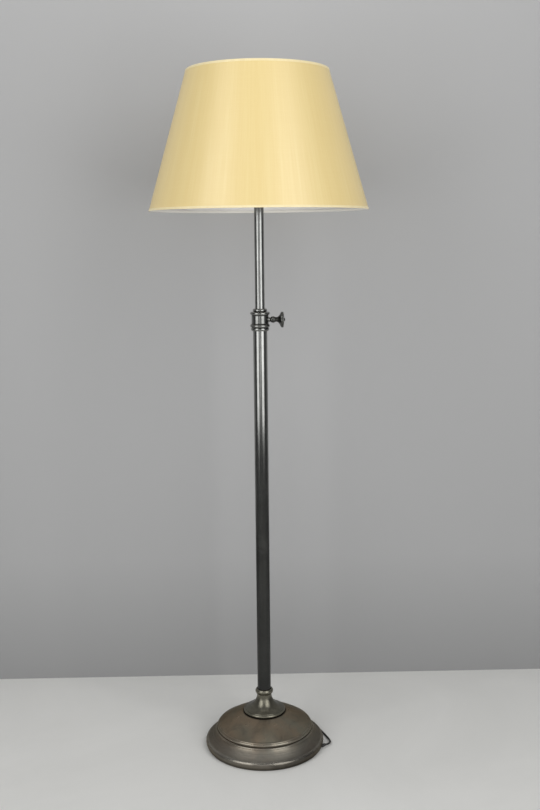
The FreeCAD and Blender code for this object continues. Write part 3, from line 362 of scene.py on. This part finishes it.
def felt():
    """Dark needled felt."""
    material, tree, shader = new_material("felt")
    fibre = speckle(tree, place_of(tree), 420.0, 6.0, 0.75, 2.0)
    lump = speckle(tree, place_of(tree), 45.0, 3.0, 0.6)
    colour = blend(tree, spread(tree, fibre, 0.3, 0.7), (0.018, 0.020, 0.018), (0.075, 0.082, 0.072))
    colour = blend(tree, spread(tree, lump, 0.4, 0.7, 0.0, 0.3), colour, (0.05, 0.055, 0.045))
    wire(tree, shader, Base_Color=colour, Roughness=0.95, Sheen_Weight=0.4)
    wire(tree, shader, Normal=bumped(tree, fibre, 0.6, 0.0008))
    return material


def opal():
    """White coated bulb glass."""
    material, tree, shader = new_material("opal_glass")
    cloud = speckle(tree, place_of(tree), 50.0, 3.0, 0.5)
    colour = blend(tree, spread(tree, cloud, 0.35, 0.65), (0.83, 0.82, 0.79), (0.88, 0.87, 0.85))
    wire(tree, shader, Base_Color=colour, Roughness=spread(tree, cloud, 0.3, 0.7, 0.26, 0.20))
    wire(tree, shader, Subsurface_Weight=0.15, Subsurface_Scale=0.004, Coat_Weight=0.3, Coat_Roughness=0.12)
    return material


MATERIALS = {
    "bronze": bronze(),
    "bell": metal(
        "bell_bronze", (0.135, 0.128, 0.100), (0.215, 0.204, 0.162), (0.27, 0.257, 0.205),
        rough=0.30, patch=38.0, streak=(30, 30, 420), amount=0.4),
    # Gunmetal of the pole, with painted shade that darkens it towards the floor.
    "gunmetal": metal(
        "gunmetal", (0.215, 0.217, 0.209), (0.285, 0.288, 0.278), (0.35, 0.353, 0.342),
        rough=0.15, patch=9.0, streak=(420, 420, 2.2), amount=0.25, painted_shade_low=(0.48, 0.86, 0.22)),
    "collar": metal(
        "dark_collar", (0.165, 0.168, 0.160), (0.240, 0.244, 0.233), (0.28, 0.282, 0.268),
        rough=0.16, patch=40.0, streak=(60, 60, 500), amount=0.25),
    "knob": metal(
        "dark_knob", (0.045, 0.046, 0.043), (0.090, 0.092, 0.086), (0.16, 0.162, 0.150),
        rough=0.24, patch=60.0, streak=(60, 60, 60), amount=0.3),
    "iron": metal(
        "cast_iron", (0.05, 0.048, 0.045), (0.10, 0.097, 0.092), (0.17, 0.16, 0.15),
        rough=0.62, patch=60.0, streak=(80, 80, 80), amount=0.3),
    "zinc": metal(
        "zinc_plate", (0.42, 0.43, 0.44), (0.56, 0.57, 0.58), (0.70, 0.71, 0.72),
        rough=0.30, patch=50.0, streak=(300, 300, 300), amount=0.25),
    "brass": metal(
        "satin_brass", (0.46, 0.31, 0.12), (0.62, 0.45, 0.20), (0.80, 0.64, 0.34),
        rough=0.26, patch=45.0, streak=(90, 90, 600), amount=0.25),
    "contact": metal(
        "bright_brass", (0.55, 0.38, 0.16), (0.72, 0.53, 0.25), (0.85, 0.70, 0.42),
        rough=0.22, patch=60.0, streak=(200, 200, 200), amount=0.2),
    "lamp_metal": metal(
        "lamp_cap_metal", (0.55, 0.55, 0.54), (0.70, 0.70, 0.69), (0.84, 0.84, 0.83),
        rough=0.25, patch=70.0, streak=(60, 60, 300), amount=0.2),
    "silk": silk(),
    "tape": tape(),
    "styrene": smooth_plastic(
        "white_lining", (0.90, 0.875, 0.845), (0.935, 0.915, 0.89), rough=0.55, patch=18.0, relief=0.05),
    "wire": smooth_plastic(
        "white_wire", (0.70, 0.69, 0.65), (0.78, 0.77, 0.74), rough=0.35, patch=80.0, relief=0.05),
    "phenolic": smooth_plastic(
        "black_phenolic", (0.020, 0.017, 0.015), (0.036, 0.030, 0.025), rough=0.25, patch=90.0, relief=0.08),
    "fibre": smooth_plastic(
        "fibre_liner", (0.36, 0.25, 0.14), (0.48, 0.35, 0.21), rough=0.8, patch=120.0, relief=0.3),
    "rubber": smooth_plastic(
        "cord_jacket", (0.012, 0.012, 0.011), (0.022, 0.021, 0.020), rough=0.42, patch=90.0, relief=0.12),
    "plug": smooth_plastic(
        "moulded_plug", (0.015, 0.015, 0.014), (0.028, 0.027, 0.025), rough=0.38, patch=110.0, relief=0.2),
    "felt": felt(),
    "opal": opal(),
}


# ---------------------------------------------------------------- geometry helpers

def arc(start, end, radius):
    """Points after start on the arc to end; a positive radius bulges to the right of the way."""
    across = Vector((end[0] - start[0], end[1] - start[1]))
    half = across.length / 2
    size = max(abs(radius), half * 1.0001)
    side = Vector((across.y, -across.x)).normalized() * math.copysign(1, radius)
    middle = (Vector(start) + Vector(end)) / 2
    centre = middle - side * math.sqrt(size ** 2 - half ** 2)
    first = Vector(start) - centre
    sweep = 2 * math.asin(min(half / size, 1)) * math.copysign(1, radius)
    widest_step = 7
    longest_step = 5
    degrees = abs(math.degrees(sweep))
    steps = max(3, int(degrees / widest_step), int(abs(sweep) * size / longest_step))
    points = []
    for step in range(1, steps + 1):
        turn = sweep * step / steps
        out = Vector((
            first.x * math.cos(turn) - first.y * math.sin(turn),
            first.x * math.sin(turn) + first.y * math.cos(turn)))
        points.append(tuple(centre + out))
    return points


def outline(corners, bevel):
    """Profile points (r, z) through corners (r, z[, arc radius]), with sharp corners eased.

    Points near each eased corner keep the wear on its edge from spreading along a long side.
    """
    sharp = math.radians(22)
    near = 2
    far = 4.5
    raw = []
    closed = corners[0][0] > 0 or corners[-1][0] > 0
    for number, corner in enumerate(corners):
        if not raw:
            raw.append(corner[:2])
        last = number == len(corners) - 1
        if last and not closed:
            break
        following = corners[(number + 1) % len(corners)]
        if len(corner) == 3:
            raw += arc(corner[:2], following[:2], corner[2])
        else:
            raw.append(following[:2])
    if closed:
        raw.pop()
    eased = []
    for number, here in enumerate(raw):
        ends = not closed and number in (0, len(raw) - 1)
        before = Vector(raw[number - 1])
        after = Vector(raw[(number + 1) % len(raw)])
        here = Vector(here)
        come = here - before
        go = after - here
        turn = 0 if ends else abs(come.angle(go, 0))
        if turn < sharp:
            eased.append(tuple(here))
            continue
        reach = min(bevel, come.length * 0.35, go.length * 0.35)
        first = here - come.normalized() * reach
        second = here + go.normalized() * reach
        eased += [tuple(here - come.normalized() * gap) for gap in (far, near) if come.length > 2.2 * gap]
        eased += [tuple(first), tuple((first + second + here * 2) / 4), tuple(second)]
        eased += [tuple(here + go.normalized() * gap) for gap in (near, far) if go.length > 2.2 * gap]
    return eased, closed


def edge_wear(points, closed):
    """How much each profile point sticks out or lies in a groove, as (wear, grime) from 0 to 1."""
    reach = 1.6
    count = len(points)
    turns = []
    for number in range(count):
        if not closed and number in (0, count - 1):
            turns.append(0)
            continue
        here = Vector(points[number])
        come = here - Vector(points[number - 1])
        go = Vector(points[(number + 1) % count]) - here
        size = come.length * go.length
        sine = 0 if size == 0 else (come.x * go.y - come.y * go.x) / size
        turns.append(math.asin(max(-1, min(1, sine))))
    found = []
    for here in points:
        total = 0
        for other, turn in zip(points, turns):
            gap = math.dist(here, other)
            if gap < 3 * reach:
                total += turn * math.exp(-(gap / reach) ** 2)
        wear = max(0, min(1, total * 1.2 - 0.25))
        grime = max(0, min(1, -total * 1.1 - 0.12))
        found.append((wear, grime))
    return found


def finish_mesh(name, verts, faces, body, material, hides=(), values=None, sharp=34):
    """A finished piece from points in metres: shaded, dressed, and riding on its body.

    values holds each point's (wear, grime), hides the CAD nodes that the piece stands for, and
    sharp the angle in degrees above which an edge isn't shaded smooth.
    """
    mesh = bpy.data.meshes.new(name)
    mesh.from_pydata(verts, [], faces)
    for index, label in enumerate(("wear", "grime")):
        layer = mesh.attributes.new(label, "FLOAT", "POINT")
        if values:
            layer.data.foreach_set("value", [pair[index] for pair in values])
    work = bmesh.new()
    work.from_mesh(mesh)
    bmesh.ops.remove_doubles(work, verts=work.verts, dist=1e-6)
    bmesh.ops.recalc_face_normals(work, faces=work.faces)
    work.to_mesh(mesh)
    work.free()
    mesh.polygons.foreach_set("use_smooth", [True] * len(mesh.polygons))
    mesh.set_sharp_from_angle(angle=math.radians(sharp))
    mesh.materials.append(MATERIALS[material])
    piece = bpy.data.objects.new(name, mesh)
    scene.collection.objects.link(piece)
    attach(piece, body)
    if hides:
        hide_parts(*hides)
    return piece


def lathe(name, corners, body, material, hides=(), sides=128, bevel=0.3, frame_of=None, shape=None):
    """A profile in millimetres turned about Z, and then placed by the matrix frame_of.

    shape(r, z, angle) may give another radius, for lobes and flutes.
    """
    points, closed = outline(corners, bevel)
    wear = edge_wear(points, closed)
    count = len(points)
    verts = []
    for side in range(sides):
        angle = 2 * math.pi * side / sides
        for radius, height in points:
            wide = radius if shape is None else shape(radius, height, angle)
            verts.append(Vector((wide * math.cos(angle), wide * math.sin(angle), height)) * MM)
    if frame_of is not None:
        verts = [frame_of @ vert for vert in verts]
    faces = []
    rows = count if closed else count - 1
    for side in range(sides):
        here = side * count
        there = (side + 1) % sides * count
        for row in range(rows):
            after = (row + 1) % count
            faces.append((here + row, there + row, there + after, here + after))
    return finish_mesh(name, verts, faces, body, material, hides, wear * sides)


def dress(material, *names):
    """Give CAD nodes that stay in view one of the materials."""
    for name in names:
        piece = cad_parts[name]
        piece.data.materials.clear()
        piece.data.materials.append(MATERIALS[material])


# ---------------------------------------------------------------- cord

LEAD = 2.25
LYING = LEAD + 0.15
EXIT_ANGLE = math.radians(-13)
EXIT_HEADING = math.radians(25)
EXIT = Vector((142.9 * math.cos(EXIT_ANGLE), 142.9 * math.sin(EXIT_ANGLE), 6))
EXIT_WAY = Vector((math.cos(EXIT_HEADING), math.sin(EXIT_HEADING), 0))
COIL = Vector((-3, 190.3, 0))
COIL_OUTER = 39
PLUG_AXIS = 7.2


def coil_points():
    """Control points of the coil: in through the lower layer, up, and out through the upper."""
    pitch = 5
    layer = 5
    halves = 9
    per_half = 8
    pull = 0.75 + 0.25 * math.cos(math.pi / per_half)
    points = []
    for number in range(1, 2 * halves * per_half):
        step = number / per_half
        radius = (COIL_OUTER - min(step, 2 * halves - step) * pitch / 2) / pull
        climbed = min(max(step - halves + 0.5, 0), 1)
        climbed = climbed * climbed * (3 - 2 * climbed)
        angle = -math.pi / 2 - step * math.pi
        height = LYING + climbed * layer
        points.append(COIL + Vector((radius * math.cos(angle), radius * math.sin(angle), height)))
    return points


def make_cord():
    """Supply cord from its strain relief, round behind the base, through its coil, to its plug."""
    start = EXIT + EXIT_WAY * 10
    front = COIL.y - COIL_OUTER
    route = [
        start,
        start + EXIT_WAY * 6,
        Vector((158.8, -19.9, 5.6)),
        Vector((161.4, -12.9, 4.8)),
        Vector((161.1, -4.4, 3.9)),
        Vector((158.4, 7.3, 3.1)),
        Vector((153.6, 22.0, 2.6)),
        Vector((146.8, 39.6, LYING)),
        Vector((135.7, 66.2, LYING)),
        Vector((120.6, 90.9, LYING)),
        Vector((101.0, 112.2, LYING)),
        Vector((77.8, 129.4, LYING)),
        Vector((52.9, 141.4, LYING)),
        Vector((31.0, 148.2, LYING)),
        Vector((14.5, front, LYING)),
        Vector((1.5, front, LYING))]
    route += coil_points()
    end = Vector((COIL.x - 4.5, front, LYING + 5))
    plug_back = Vector((end.x - 36, end.y - 2, PLUG_AXIS))
    route += [
        end,
        end + Vector((-9, 0, 0)),
        end + Vector((-18, -0.9, -0.1)),
        plug_back + Vector((9, 0, 0)),
        plug_back]
    data = bpy.data.curves.new("supply_cord", "CURVE")
    data.dimensions = "3D"
    data.bevel_depth = LEAD * MM
    data.bevel_resolution = 5
    data.use_fill_caps = True
    data.resolution_u = 3
    spline = data.splines.new("NURBS")
    spline.points.add(len(route) - 1)
    for point, place in zip(spline.points, route):
        point.co = (*(place * MM), 1)
    spline.order_u = 3
    spline.use_endpoint_u = True
    data.materials.append(MATERIALS["rubber"])
    cord = bpy.data.objects.new("supply_cord", data)
    scene.collection.objects.link(cord)
    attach(cord, "base")
    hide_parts("cord_run", "cord_coil", "cord_tail")

    way = Matrix.Translation(EXIT * MM) @ UP.rotation_difference(EXIT_WAY).to_matrix().to_4x4()
    relief = lathe("cord_relief", [
        (2.25, -10.5), (4.75, -10.5), (4.75, -7.5), (3.95, -7), (3.95, 0.4), (4.3, 0.6, 0.5), (4.3, 1.6),
        (3.7, 2), (3.7, 3.2), (3.95, 3.4), (3.75, 4.6), (3.35, 4.8), (3.35, 5.8), (3.6, 6), (3.4, 7.2),
        (3.05, 7.4), (3.05, 8.2), (3.2, 8.4), (2.95, 9.7), (2.35, 10)],
        "base", "plug", ["strain_relief"], 40, 0.2, way)
    plug = make_plug(plug_back)


def make_plug(back):
    """Moulded plug with finger grips, that points along -X. Its rings are (along, wide, high)."""
    squareness = 0.62
    rings = [
        (0, 4.0, 4.0), (0.6, 4.2, 4.2), (4, 5.6, 4.9), (8, 8.2, 5.9), (9.5, 8.6, 5.6), (11, 9.1, 6.2),
        (12.5, 9.2, 5.7), (14, 9.5, 6.4), (15.5, 9.6, 5.9), (17, 9.9, 6.6), (18.5, 10.0, 6.3), (20, 10.2, 6.8),
        (24.6, 10.5, 6.9), (25.6, 10.3, 6.7), (26, 9.8, 6.2)]
    sides = 48
    verts = []
    for along, wide, high in rings:
        for side in range(sides):
            angle = 2 * math.pi * side / sides
            across = math.copysign(abs(math.cos(angle)) ** squareness, math.cos(angle)) * wide
            rise = math.copysign(abs(math.sin(angle)) ** squareness, math.sin(angle)) * high
            verts.append(Vector((back.x - along, back.y + across, back.z + rise)) * MM)
    faces = []
    for row in range(len(rings) - 1):
        here = row * sides
        there = here + sides
        for side in range(sides):
            after = (side + 1) % sides
            faces.append((here + side, here + after, there + after, there + side))
    faces.append(tuple(range(sides)))
    faces.append(tuple(reversed(range((len(rings) - 1) * sides, len(rings) * sides))))
    return finish_mesh("plug_grip", verts, faces, "base", "plug", ["plug_body"], None, 50)


# ---------------------------------------------------------------- base and pole

def make_base():
    """Stepped dome, bell, bead and lower tube, and what is under and inside them."""
    lathe("base_dome", [
        (139.7, 1), (141.3, 1, 16.3), (144.5, 11.5, 9.3), (139.4, 19.8), (138.5, 19.9, -90),
        (130.2, 27.4), (129.9, 28.3), (129.3, 28.1), (128.7, 28.9, -90), (125.9, 32.1), (125.6, 33.0),
        (125.0, 32.8), (124.5, 33.6, -90), (119.8, 40.6, 4), (117.2, 44.2), (115.6, 44.8), (115.4, 45.2, 5),
        (113.4, 52.5, 2.9), (110.4, 54.7, 250), (47, 86.4), (6.9, 86.4),
        (6.9, 84.8), (46.6, 84.8, -250), (111.3, 51.8, -8), (113.4, 44), (116.6, 42.2), (118.4, 39.6, 90),
        (137.4, 18.4, -9.3), (142.9, 11.5, -16.3)],
        "base", "bronze", ["base_shell"], 200, 0.35)
    lathe("bell", [
        (44, 86.4), (47.9, 86.4), (50.5, 87.4), (50.5, 89, 3.6), (47.3, 92.4), (46.9, 92.2), (46.6, 92.8),
        (46.3, 93.4), (45.3, 93.8), (45.0, 93.6), (44.5, 94, -38), (17.4, 126), (17.4, 128.6), (18.0, 129),
        (18.0, 130), (TUBE, 130), (TUBE, TUBE_FOOT), (6.9, TUBE_FOOT), (6.9, 101.4), (12.4, 100.4),
        (23.4, 94.4)],
        "base", "bell", ["neck_bell"], 144, 0.3)
    lathe("neck_bead", [
        (TUBE, 130), (18, 130), (18.6, 130.5, 7.3), (18.9, 142.2, 1.2), (18, 142.6), (TUBE, 140.2)],
        "base", "bell", ["neck_ring"], 112, 0.25)
    heights = (TUBE_FOOT, 300, 500, 700, 900, TUBE_HEAD)
    inside = TUBE - 1.2
    lathe("pole_lower",
          [(inside, TUBE_FOOT)] + [(TUBE, height) for height in heights] + [(inside, TUBE_HEAD)],
          "base", "gunmetal", ["lower_tube"], 112, 0.2)
    dress("felt", "felt_pad")
    dress("iron", "base_weight")
    dress("zinc", "stem_pipe", "stem_washer", "stem_nut", "tube_plug", "socket_nipple")
    dress("rubber", "base_lead", "slack_lead", "stem_lead")


def make_collar():
    """Turned collar with its side boss, the gland on top, and the lobed thumb screw."""
    lathe("collar", [
        (TUBE, 1020.5), (BARREL - 0.2, 1020.5, 5.2), (BARREL, 1027.7), (BARREL - 0.8, 1028.3),
        (BARREL + 0.6, 1028.6, 3.6), (BARREL + 0.6, 1035.6), (BARREL, 1036), (BARREL - 0.3, 1036.6),
        (BARREL, 1037.2), (BARREL, 1055.6), (BARREL - 0.3, 1056.2), (BARREL, 1056.8),
        (BARREL + 0.6, 1057.1, 3.6), (BARREL + 0.6, 1064), (BARREL - 1.4, COLLAR_HEAD),
        (BUSH, COLLAR_HEAD), (BUSH, TUBE_HEAD), (TUBE, TUBE_HEAD)],
        "base", "collar", ["collar_body"], 128, 0.25)
    aside = Matrix.Translation((0, 0, SCREW_HEIGHT * MM)) @ Matrix.Rotation(math.radians(90), 4, "Y")
    lathe("screw_boss", [
        (4.1, 17.7), (7, 17.7), (7, 19.5, -8), (5.2, 22.7), (4.9, 23.1), (4.1, 23.1)],
        "base", "collar", (), 64, 0.25, aside)
    lathe("gland", [
        (11.4, 1059.5), (BUSH, 1059.5), (BUSH, COLLAR_HEAD), (14.2, 1064.4, 3.6), (14.1, 1071.3),
        (13.4, 1071.6), (12.2, 1071.6), (11.8, 1071), (11.4, 1071)],
        "base", "collar", ["gland_cap"], 112, 0.25)
    dress("brass", "guide_bush", "clamp_shoe", "stop_bush")

    def lobes(radius, height, angle):
        """Five lobes, each an arc of 12.5 mm round a centre 6.08 mm out, on the knob's rim."""
        half = math.pi / 5
        near = (angle + half) % (2 * half) - half
        lobe = 6.08 * math.cos(near) + math.sqrt(12.5 ** 2 - (6.08 * math.sin(near)) ** 2)
        share = max(0, min(1, (radius - 8) / 8)) if height > 45 else 0
        return radius * (1 + share * (lobe / 17.7 - 1))

    lathe("knob", [
        (0, 14.6), (4, 14.6), (4, 23.6), (4.7, 23.6, 9), (7.4, 29.4, 5), (6.5, 33.9), (5.9, 34.7),
        (6.1, 35.5), (5.4, 36.1), (5.25, 38.9, -17), (13.2, 46.4), (15.6, 47.6), (17.0, 48.6, 2.2),
        (17.7, 50.4), (17.7, 52.6, 2), (16.2, 54.4), (13.8, 54.5, 30), (5, 55.7), (4.2, 55.8),
        (3.6, 57), (2.4, 57.8), (0, 57.9)],
        "knob", "knob", ["thumb_screw"], 120, 0.25, aside, lobes)


def make_stem():
    """Slim upper tube and the cap on it."""
    heights = (SLIM_FOOT, 950, 1070, 1200, SLIM_HEAD)
    inside = SLIM - 1.2
    lathe("pole_upper",
          [(inside, SLIM_FOOT)] + [(SLIM, height) for height in heights] + [(inside, SLIM_HEAD)],
          "stem", "gunmetal", ["upper_tube"], 96, 0.2)
    lathe("pole_cap", [
        (SLIM, 1302), (13.0, 1302), (13.4, 1303), (13.1, 1304.2), (13.7, 1305.2), (13.8, 1308, 12),
        (9.9, 1314), (4.95, 1314), (4.95, SLIM_HEAD), (SLIM, SLIM_HEAD)],
        "stem", "collar", ["stem_cap"], 96, 0.25)


# ---------------------------------------------------------------- lamp holder, harp and bulb

def make_lamp():
    """Lamp holder with its turn key, bulb, harp and finial."""
    lathe("holder_cap", [
        (4.9, 1315.6), (7.3, 1315.6), (7.7, 1316.2), (7.6, 1319.6, -14), (13.6, 1326.4, 8), (16.7, 1331.2),
        (17.2, 1331.8), (17.2, 1332.6), (16.9, 1333), (17.2, 1333.5), (17.2, 1335.6), (16.9, 1336),
        (HOLDER, 1336), (HOLDER, 1331.8), (13.4, 1328.2), (6.9, 1320.6), (4.9, 1320.6)],
        "stem", "brass", ["socket_cap"], 96, 0.2)
    lathe("holder_shell", [
        (15.75, 1332.4), (HOLDER, 1332.4), (HOLDER, 1339), (HOLDER, 1348), (HOLDER, 1351.6, 1.1),
        (HOLDER, 1353.4), (16.2, 1353.9), (HOLDER, 1354.4), (HOLDER, 1369.6), (16.9, 1370.4, 1.4),
        (16.7, 1372.6), (16.3, 1373), (15.75, 1373)],
        "stem", "brass", ["socket_shell"], 96, 0.15)
    thread_pitch = 3.6
    thread_head = 1377
    height = 1360.4
    thread = [(0, 1356.6), (4, 1355.3), (4.6, 1356.2), (9.6, 1358.8), (12, 1359.9), (12.4, height)]
    while height < thread_head:
        thread += [(13.0, height + 0.9, 1.2), (13.0, height + 1.9), (12.4, height + 2.8)]
        height += thread_pitch
    thread += [(12.9, 1379.3), (12.3, 1379.3), (0, 1376)]
    lathe("bulb_thread", thread, "stem", "lamp_metal", ["bulb_cap"], 72, 0.15)
    lathe("bulb", [
        (0, 1377), (12.9, 1379.3), (13.2, 1380.4), (13.6, 1384, -60), (25.4, 1417.4), (26.6, 1419.5, 30),
        (0, 1463.2)],
        "stem", "opal", ["bulb_glass"], 96, 0.2)
    seat = FINIAL_SEAT
    lathe("finial_knob", [
        (5.9, seat), (8, seat), (8, seat + 1.5), (7.4, seat + 1.9), (6.6, seat + 2.3, -4), (4.3, seat + 6.3),
        (4.9, seat + 6.8), (4.9, seat + 7.4), (4.3, seat + 7.8), (5, seat + 8.5, 6.6),
        (2.7, seat + 19.4), (3.1, seat + 19.8), (3.1, seat + 20.4), (2.5, seat + 20.8),
        (2.6, seat + 22, 2.6), (0, seat + 24.6)],
        "finial", "brass", ["finial"], 72, 0.2)

    def flutes(radius, height, angle):
        """Sixteen shallow flutes along the knob's side."""
        count = 16
        depth = 0.55
        if height < 27.6 or radius < 5:
            return radius
        return radius - depth * (0.5 - 0.5 * math.cos(count * angle)) ** 2

    forward = Matrix.Translation((0, 0, KEY_HEIGHT * MM)) @ Matrix.Rotation(math.radians(90), 4, "X")
    lathe("key_knob", [
        (0, 8), (2.2, 8), (2.2, 24), (3.6, 24), (4.2, 25.5), (4.2, 27), (6.2, 28.1), (6.55, 28.6),
        (6.8, 37.6), (6.5, 38.6), (5.6, 39.4), (3, 39.8), (0, 39.8)],
        "switch", "phenolic", ["switch_key"], 128, 0.25, forward, flutes)
    dress("brass", "harp_saddle", "harp", "harp_stud", "harp_sleeve_right", "harp_sleeve_left")
    dress("contact", "screw_shell", "centre_contact", "plug_blades")
    dress("phenolic", "socket_core")
    dress("fibre", "socket_liner")


# ---------------------------------------------------------------- shade

LEAN = (SHADE_WIDE - SHADE_NARROW) / (SHADE_HEAD - SHADE_FOOT)


def shade_radius(inset, height):
    """Radius of a surface that far inside the shade's outer cone."""
    return SHADE_WIDE - inset - (height - SHADE_FOOT) * LEAN


def wall(outer, thick, low, high, steps):
    """Closed profile of a layer of the shade's wall."""
    rows = [low + (high - low) * step / steps for step in range(steps + 1)]
    return (
        [(shade_radius(outer, height), height) for height in rows]
        + [(shade_radius(outer + thick, height), height) for height in reversed(rows)])


def make_shade():
    """Silk cover on a white lining, two folded tapes and a lapped seam down the back."""
    sides = 256
    low = SHADE_FOOT + 0.5
    high = SHADE_HEAD - 0.5
    cover = lathe("shade_cover", wall(0.5, 0.8, low, high, 24),
                  "shade", "silk", ["shade_fabric"], sides, 0.05)
    lathe("shade_liner", wall(1.3, 1.0, low, high, 12),
          "shade", "styrene", ["shade_lining"], sides, 0.05)
    for name, edge, way, hides in (
            ("tape_bottom", SHADE_FOOT, 1, "bottom_trim"), ("tape_top", SHADE_HEAD, -1, "top_trim")):
        lap = edge + 5 * way
        fold = edge + 0.5 * way
        profile = [
            (shade_radius(0.35, edge), edge), (shade_radius(0.0, fold), fold),
            (shade_radius(0.0, lap - 0.4 * way), lap - 0.4 * way), (shade_radius(0.25, lap), lap),
            (shade_radius(0.5, lap), lap), (shade_radius(0.5, fold), fold), (shade_radius(5.3, fold), fold),
            (shade_radius(5.3, lap), lap), (shade_radius(5.8, lap), lap), (shade_radius(5.8, fold), fold),
            (shade_radius(5.4, edge), edge)]
        lathe(name, profile, "shade", "tape", [hides], sides, 0.12)
    seam = []
    faces = []
    rows = 16
    hem = 5.2
    for row in range(rows + 1):
        height = SHADE_FOOT + hem + (SHADE_HEAD - SHADE_FOOT - 2 * hem) * row / rows
        for across, proud in ((-5.5, 0.35), (-5.2, -0.05), (5.2, -0.05), (5.5, 0.35)):
            radius = shade_radius(0.45 + proud, height)
            turn = math.pi / 2 + across / radius
            seam.append(Vector((radius * math.cos(turn), radius * math.sin(turn), height)) * MM)
    for row in range(rows):
        for column in range(3):
            first = row * 4 + column
            faces.append((first, first + 1, first + 5, first + 4))
    finish_mesh("back_lap", seam, faces, "shade", "silk")
    dress("wire", "bottom_ring", "top_ring", "spider")


# ---------------------------------------------------------------- room and light

def plane(name, corners, material):
    mesh = bpy.data.meshes.new(name)
    mesh.from_pydata(corners, [], [(0, 1, 2, 3)])
    mesh.materials.append(material)
    piece = bpy.data.objects.new(name, mesh)
    scene.collection.objects.link(piece)


def make_room():
    """Plain pale floor, and behind the lamp a grey wall with painted shade towards the floor, that can't be
    seen from its back.
    """
    reach = 9
    height = 6
    gap = 0.398
    slant = reach * math.tan(math.radians(1.25))
    floor, tree, shader = new_material("pale_floor")
    cloud = speckle(tree, place_of(tree), 1.6, 5.0, 0.6, 1.0)
    colour = blend(tree, spread(tree, cloud, 0.3, 0.7), (0.775, 0.772, 0.742), (0.835, 0.830, 0.800))
    wire(tree, shader, Base_Color=colour, Roughness=0.7, Specular_IOR_Level=0.25)
    plane("floor", [
        (-reach, -reach, 0), (reach, -reach, 0), (reach, reach, 0), (-reach, reach, 0)], floor)

    back, tree, shader = new_material("grey_wall")
    # Painted shade: the wall is darker towards the floor.
    low = spread(tree, split(tree)[2], 0.0, 0.35)
    colour = blend(tree, low, (0.32, 0.32, 0.32), (0.405, 0.405, 0.405))
    wire(tree, shader, Base_Color=colour, Roughness=0.9, Specular_IOR_Level=0.1)
    see_through = node(tree, "MixShader", (
        (0, node(tree, "NewGeometry").outputs["Backfacing"]), (1, shader.outputs[0]),
        (2, node(tree, "BsdfTransparent").outputs[0])))
    tree.links.new(see_through.outputs[0], tree.nodes["Material Output"].inputs["Surface"])
    plane("backdrop", [
        (-reach, gap - slant, 0), (reach, gap + slant, 0), (reach, gap + slant, height),
        (-reach, gap - slant, height)], back)


def softbox(name, azimuth, distance, height, width, tall, power):
    """An area lamp that faces the pole; azimuth 0 is at the front and grows to the right."""
    data = bpy.data.lights.new(name, "AREA")
    data.shape = "RECTANGLE"
    data.size = width
    data.size_y = tall
    data.energy = power
    lamp = bpy.data.objects.new(name, data)
    scene.collection.objects.link(lamp)
    lamp.visible_camera = False
    turn = math.radians(azimuth)
    place = Vector((distance * math.sin(turn), -distance * math.cos(turn), height))
    aim = Vector((0, 0, height - 0.05)) - place
    lamp.matrix_world = Matrix.Translation(place) @ aim.to_track_quat("-Z", "Y").to_matrix().to_4x4()


def make_light():
    """Two tall softboxes at the sides, a weak one ahead, one overhead and a dim pale world."""
    world = bpy.data.worlds.new("studio")
    scene.world = world
    world.use_nodes = True
    back = world.node_tree.nodes["Background"]
    back.inputs["Color"].default_value = (0.93, 0.95, 1.0, 1)
    back.inputs["Strength"].default_value = 0.17
    softbox("softbox_left", azimuth=-43, distance=1.9, height=1.65, width=1.2, tall=2.45, power=24.5)
    softbox("softbox_right", azimuth=37, distance=1.9, height=1.65, width=1.3, tall=2.45, power=29.5)
    softbox("front_fill", azimuth=-4, distance=2.7, height=1.10, width=0.9, tall=1.5, power=4.6)
    softbox("overhead", azimuth=0, distance=0.3, height=3.1, width=1.5, tall=1.4, power=13)


make_camera()
make_cord()
make_base()
make_collar()
make_stem()
make_lamp()
make_shade()
make_room()
make_light()
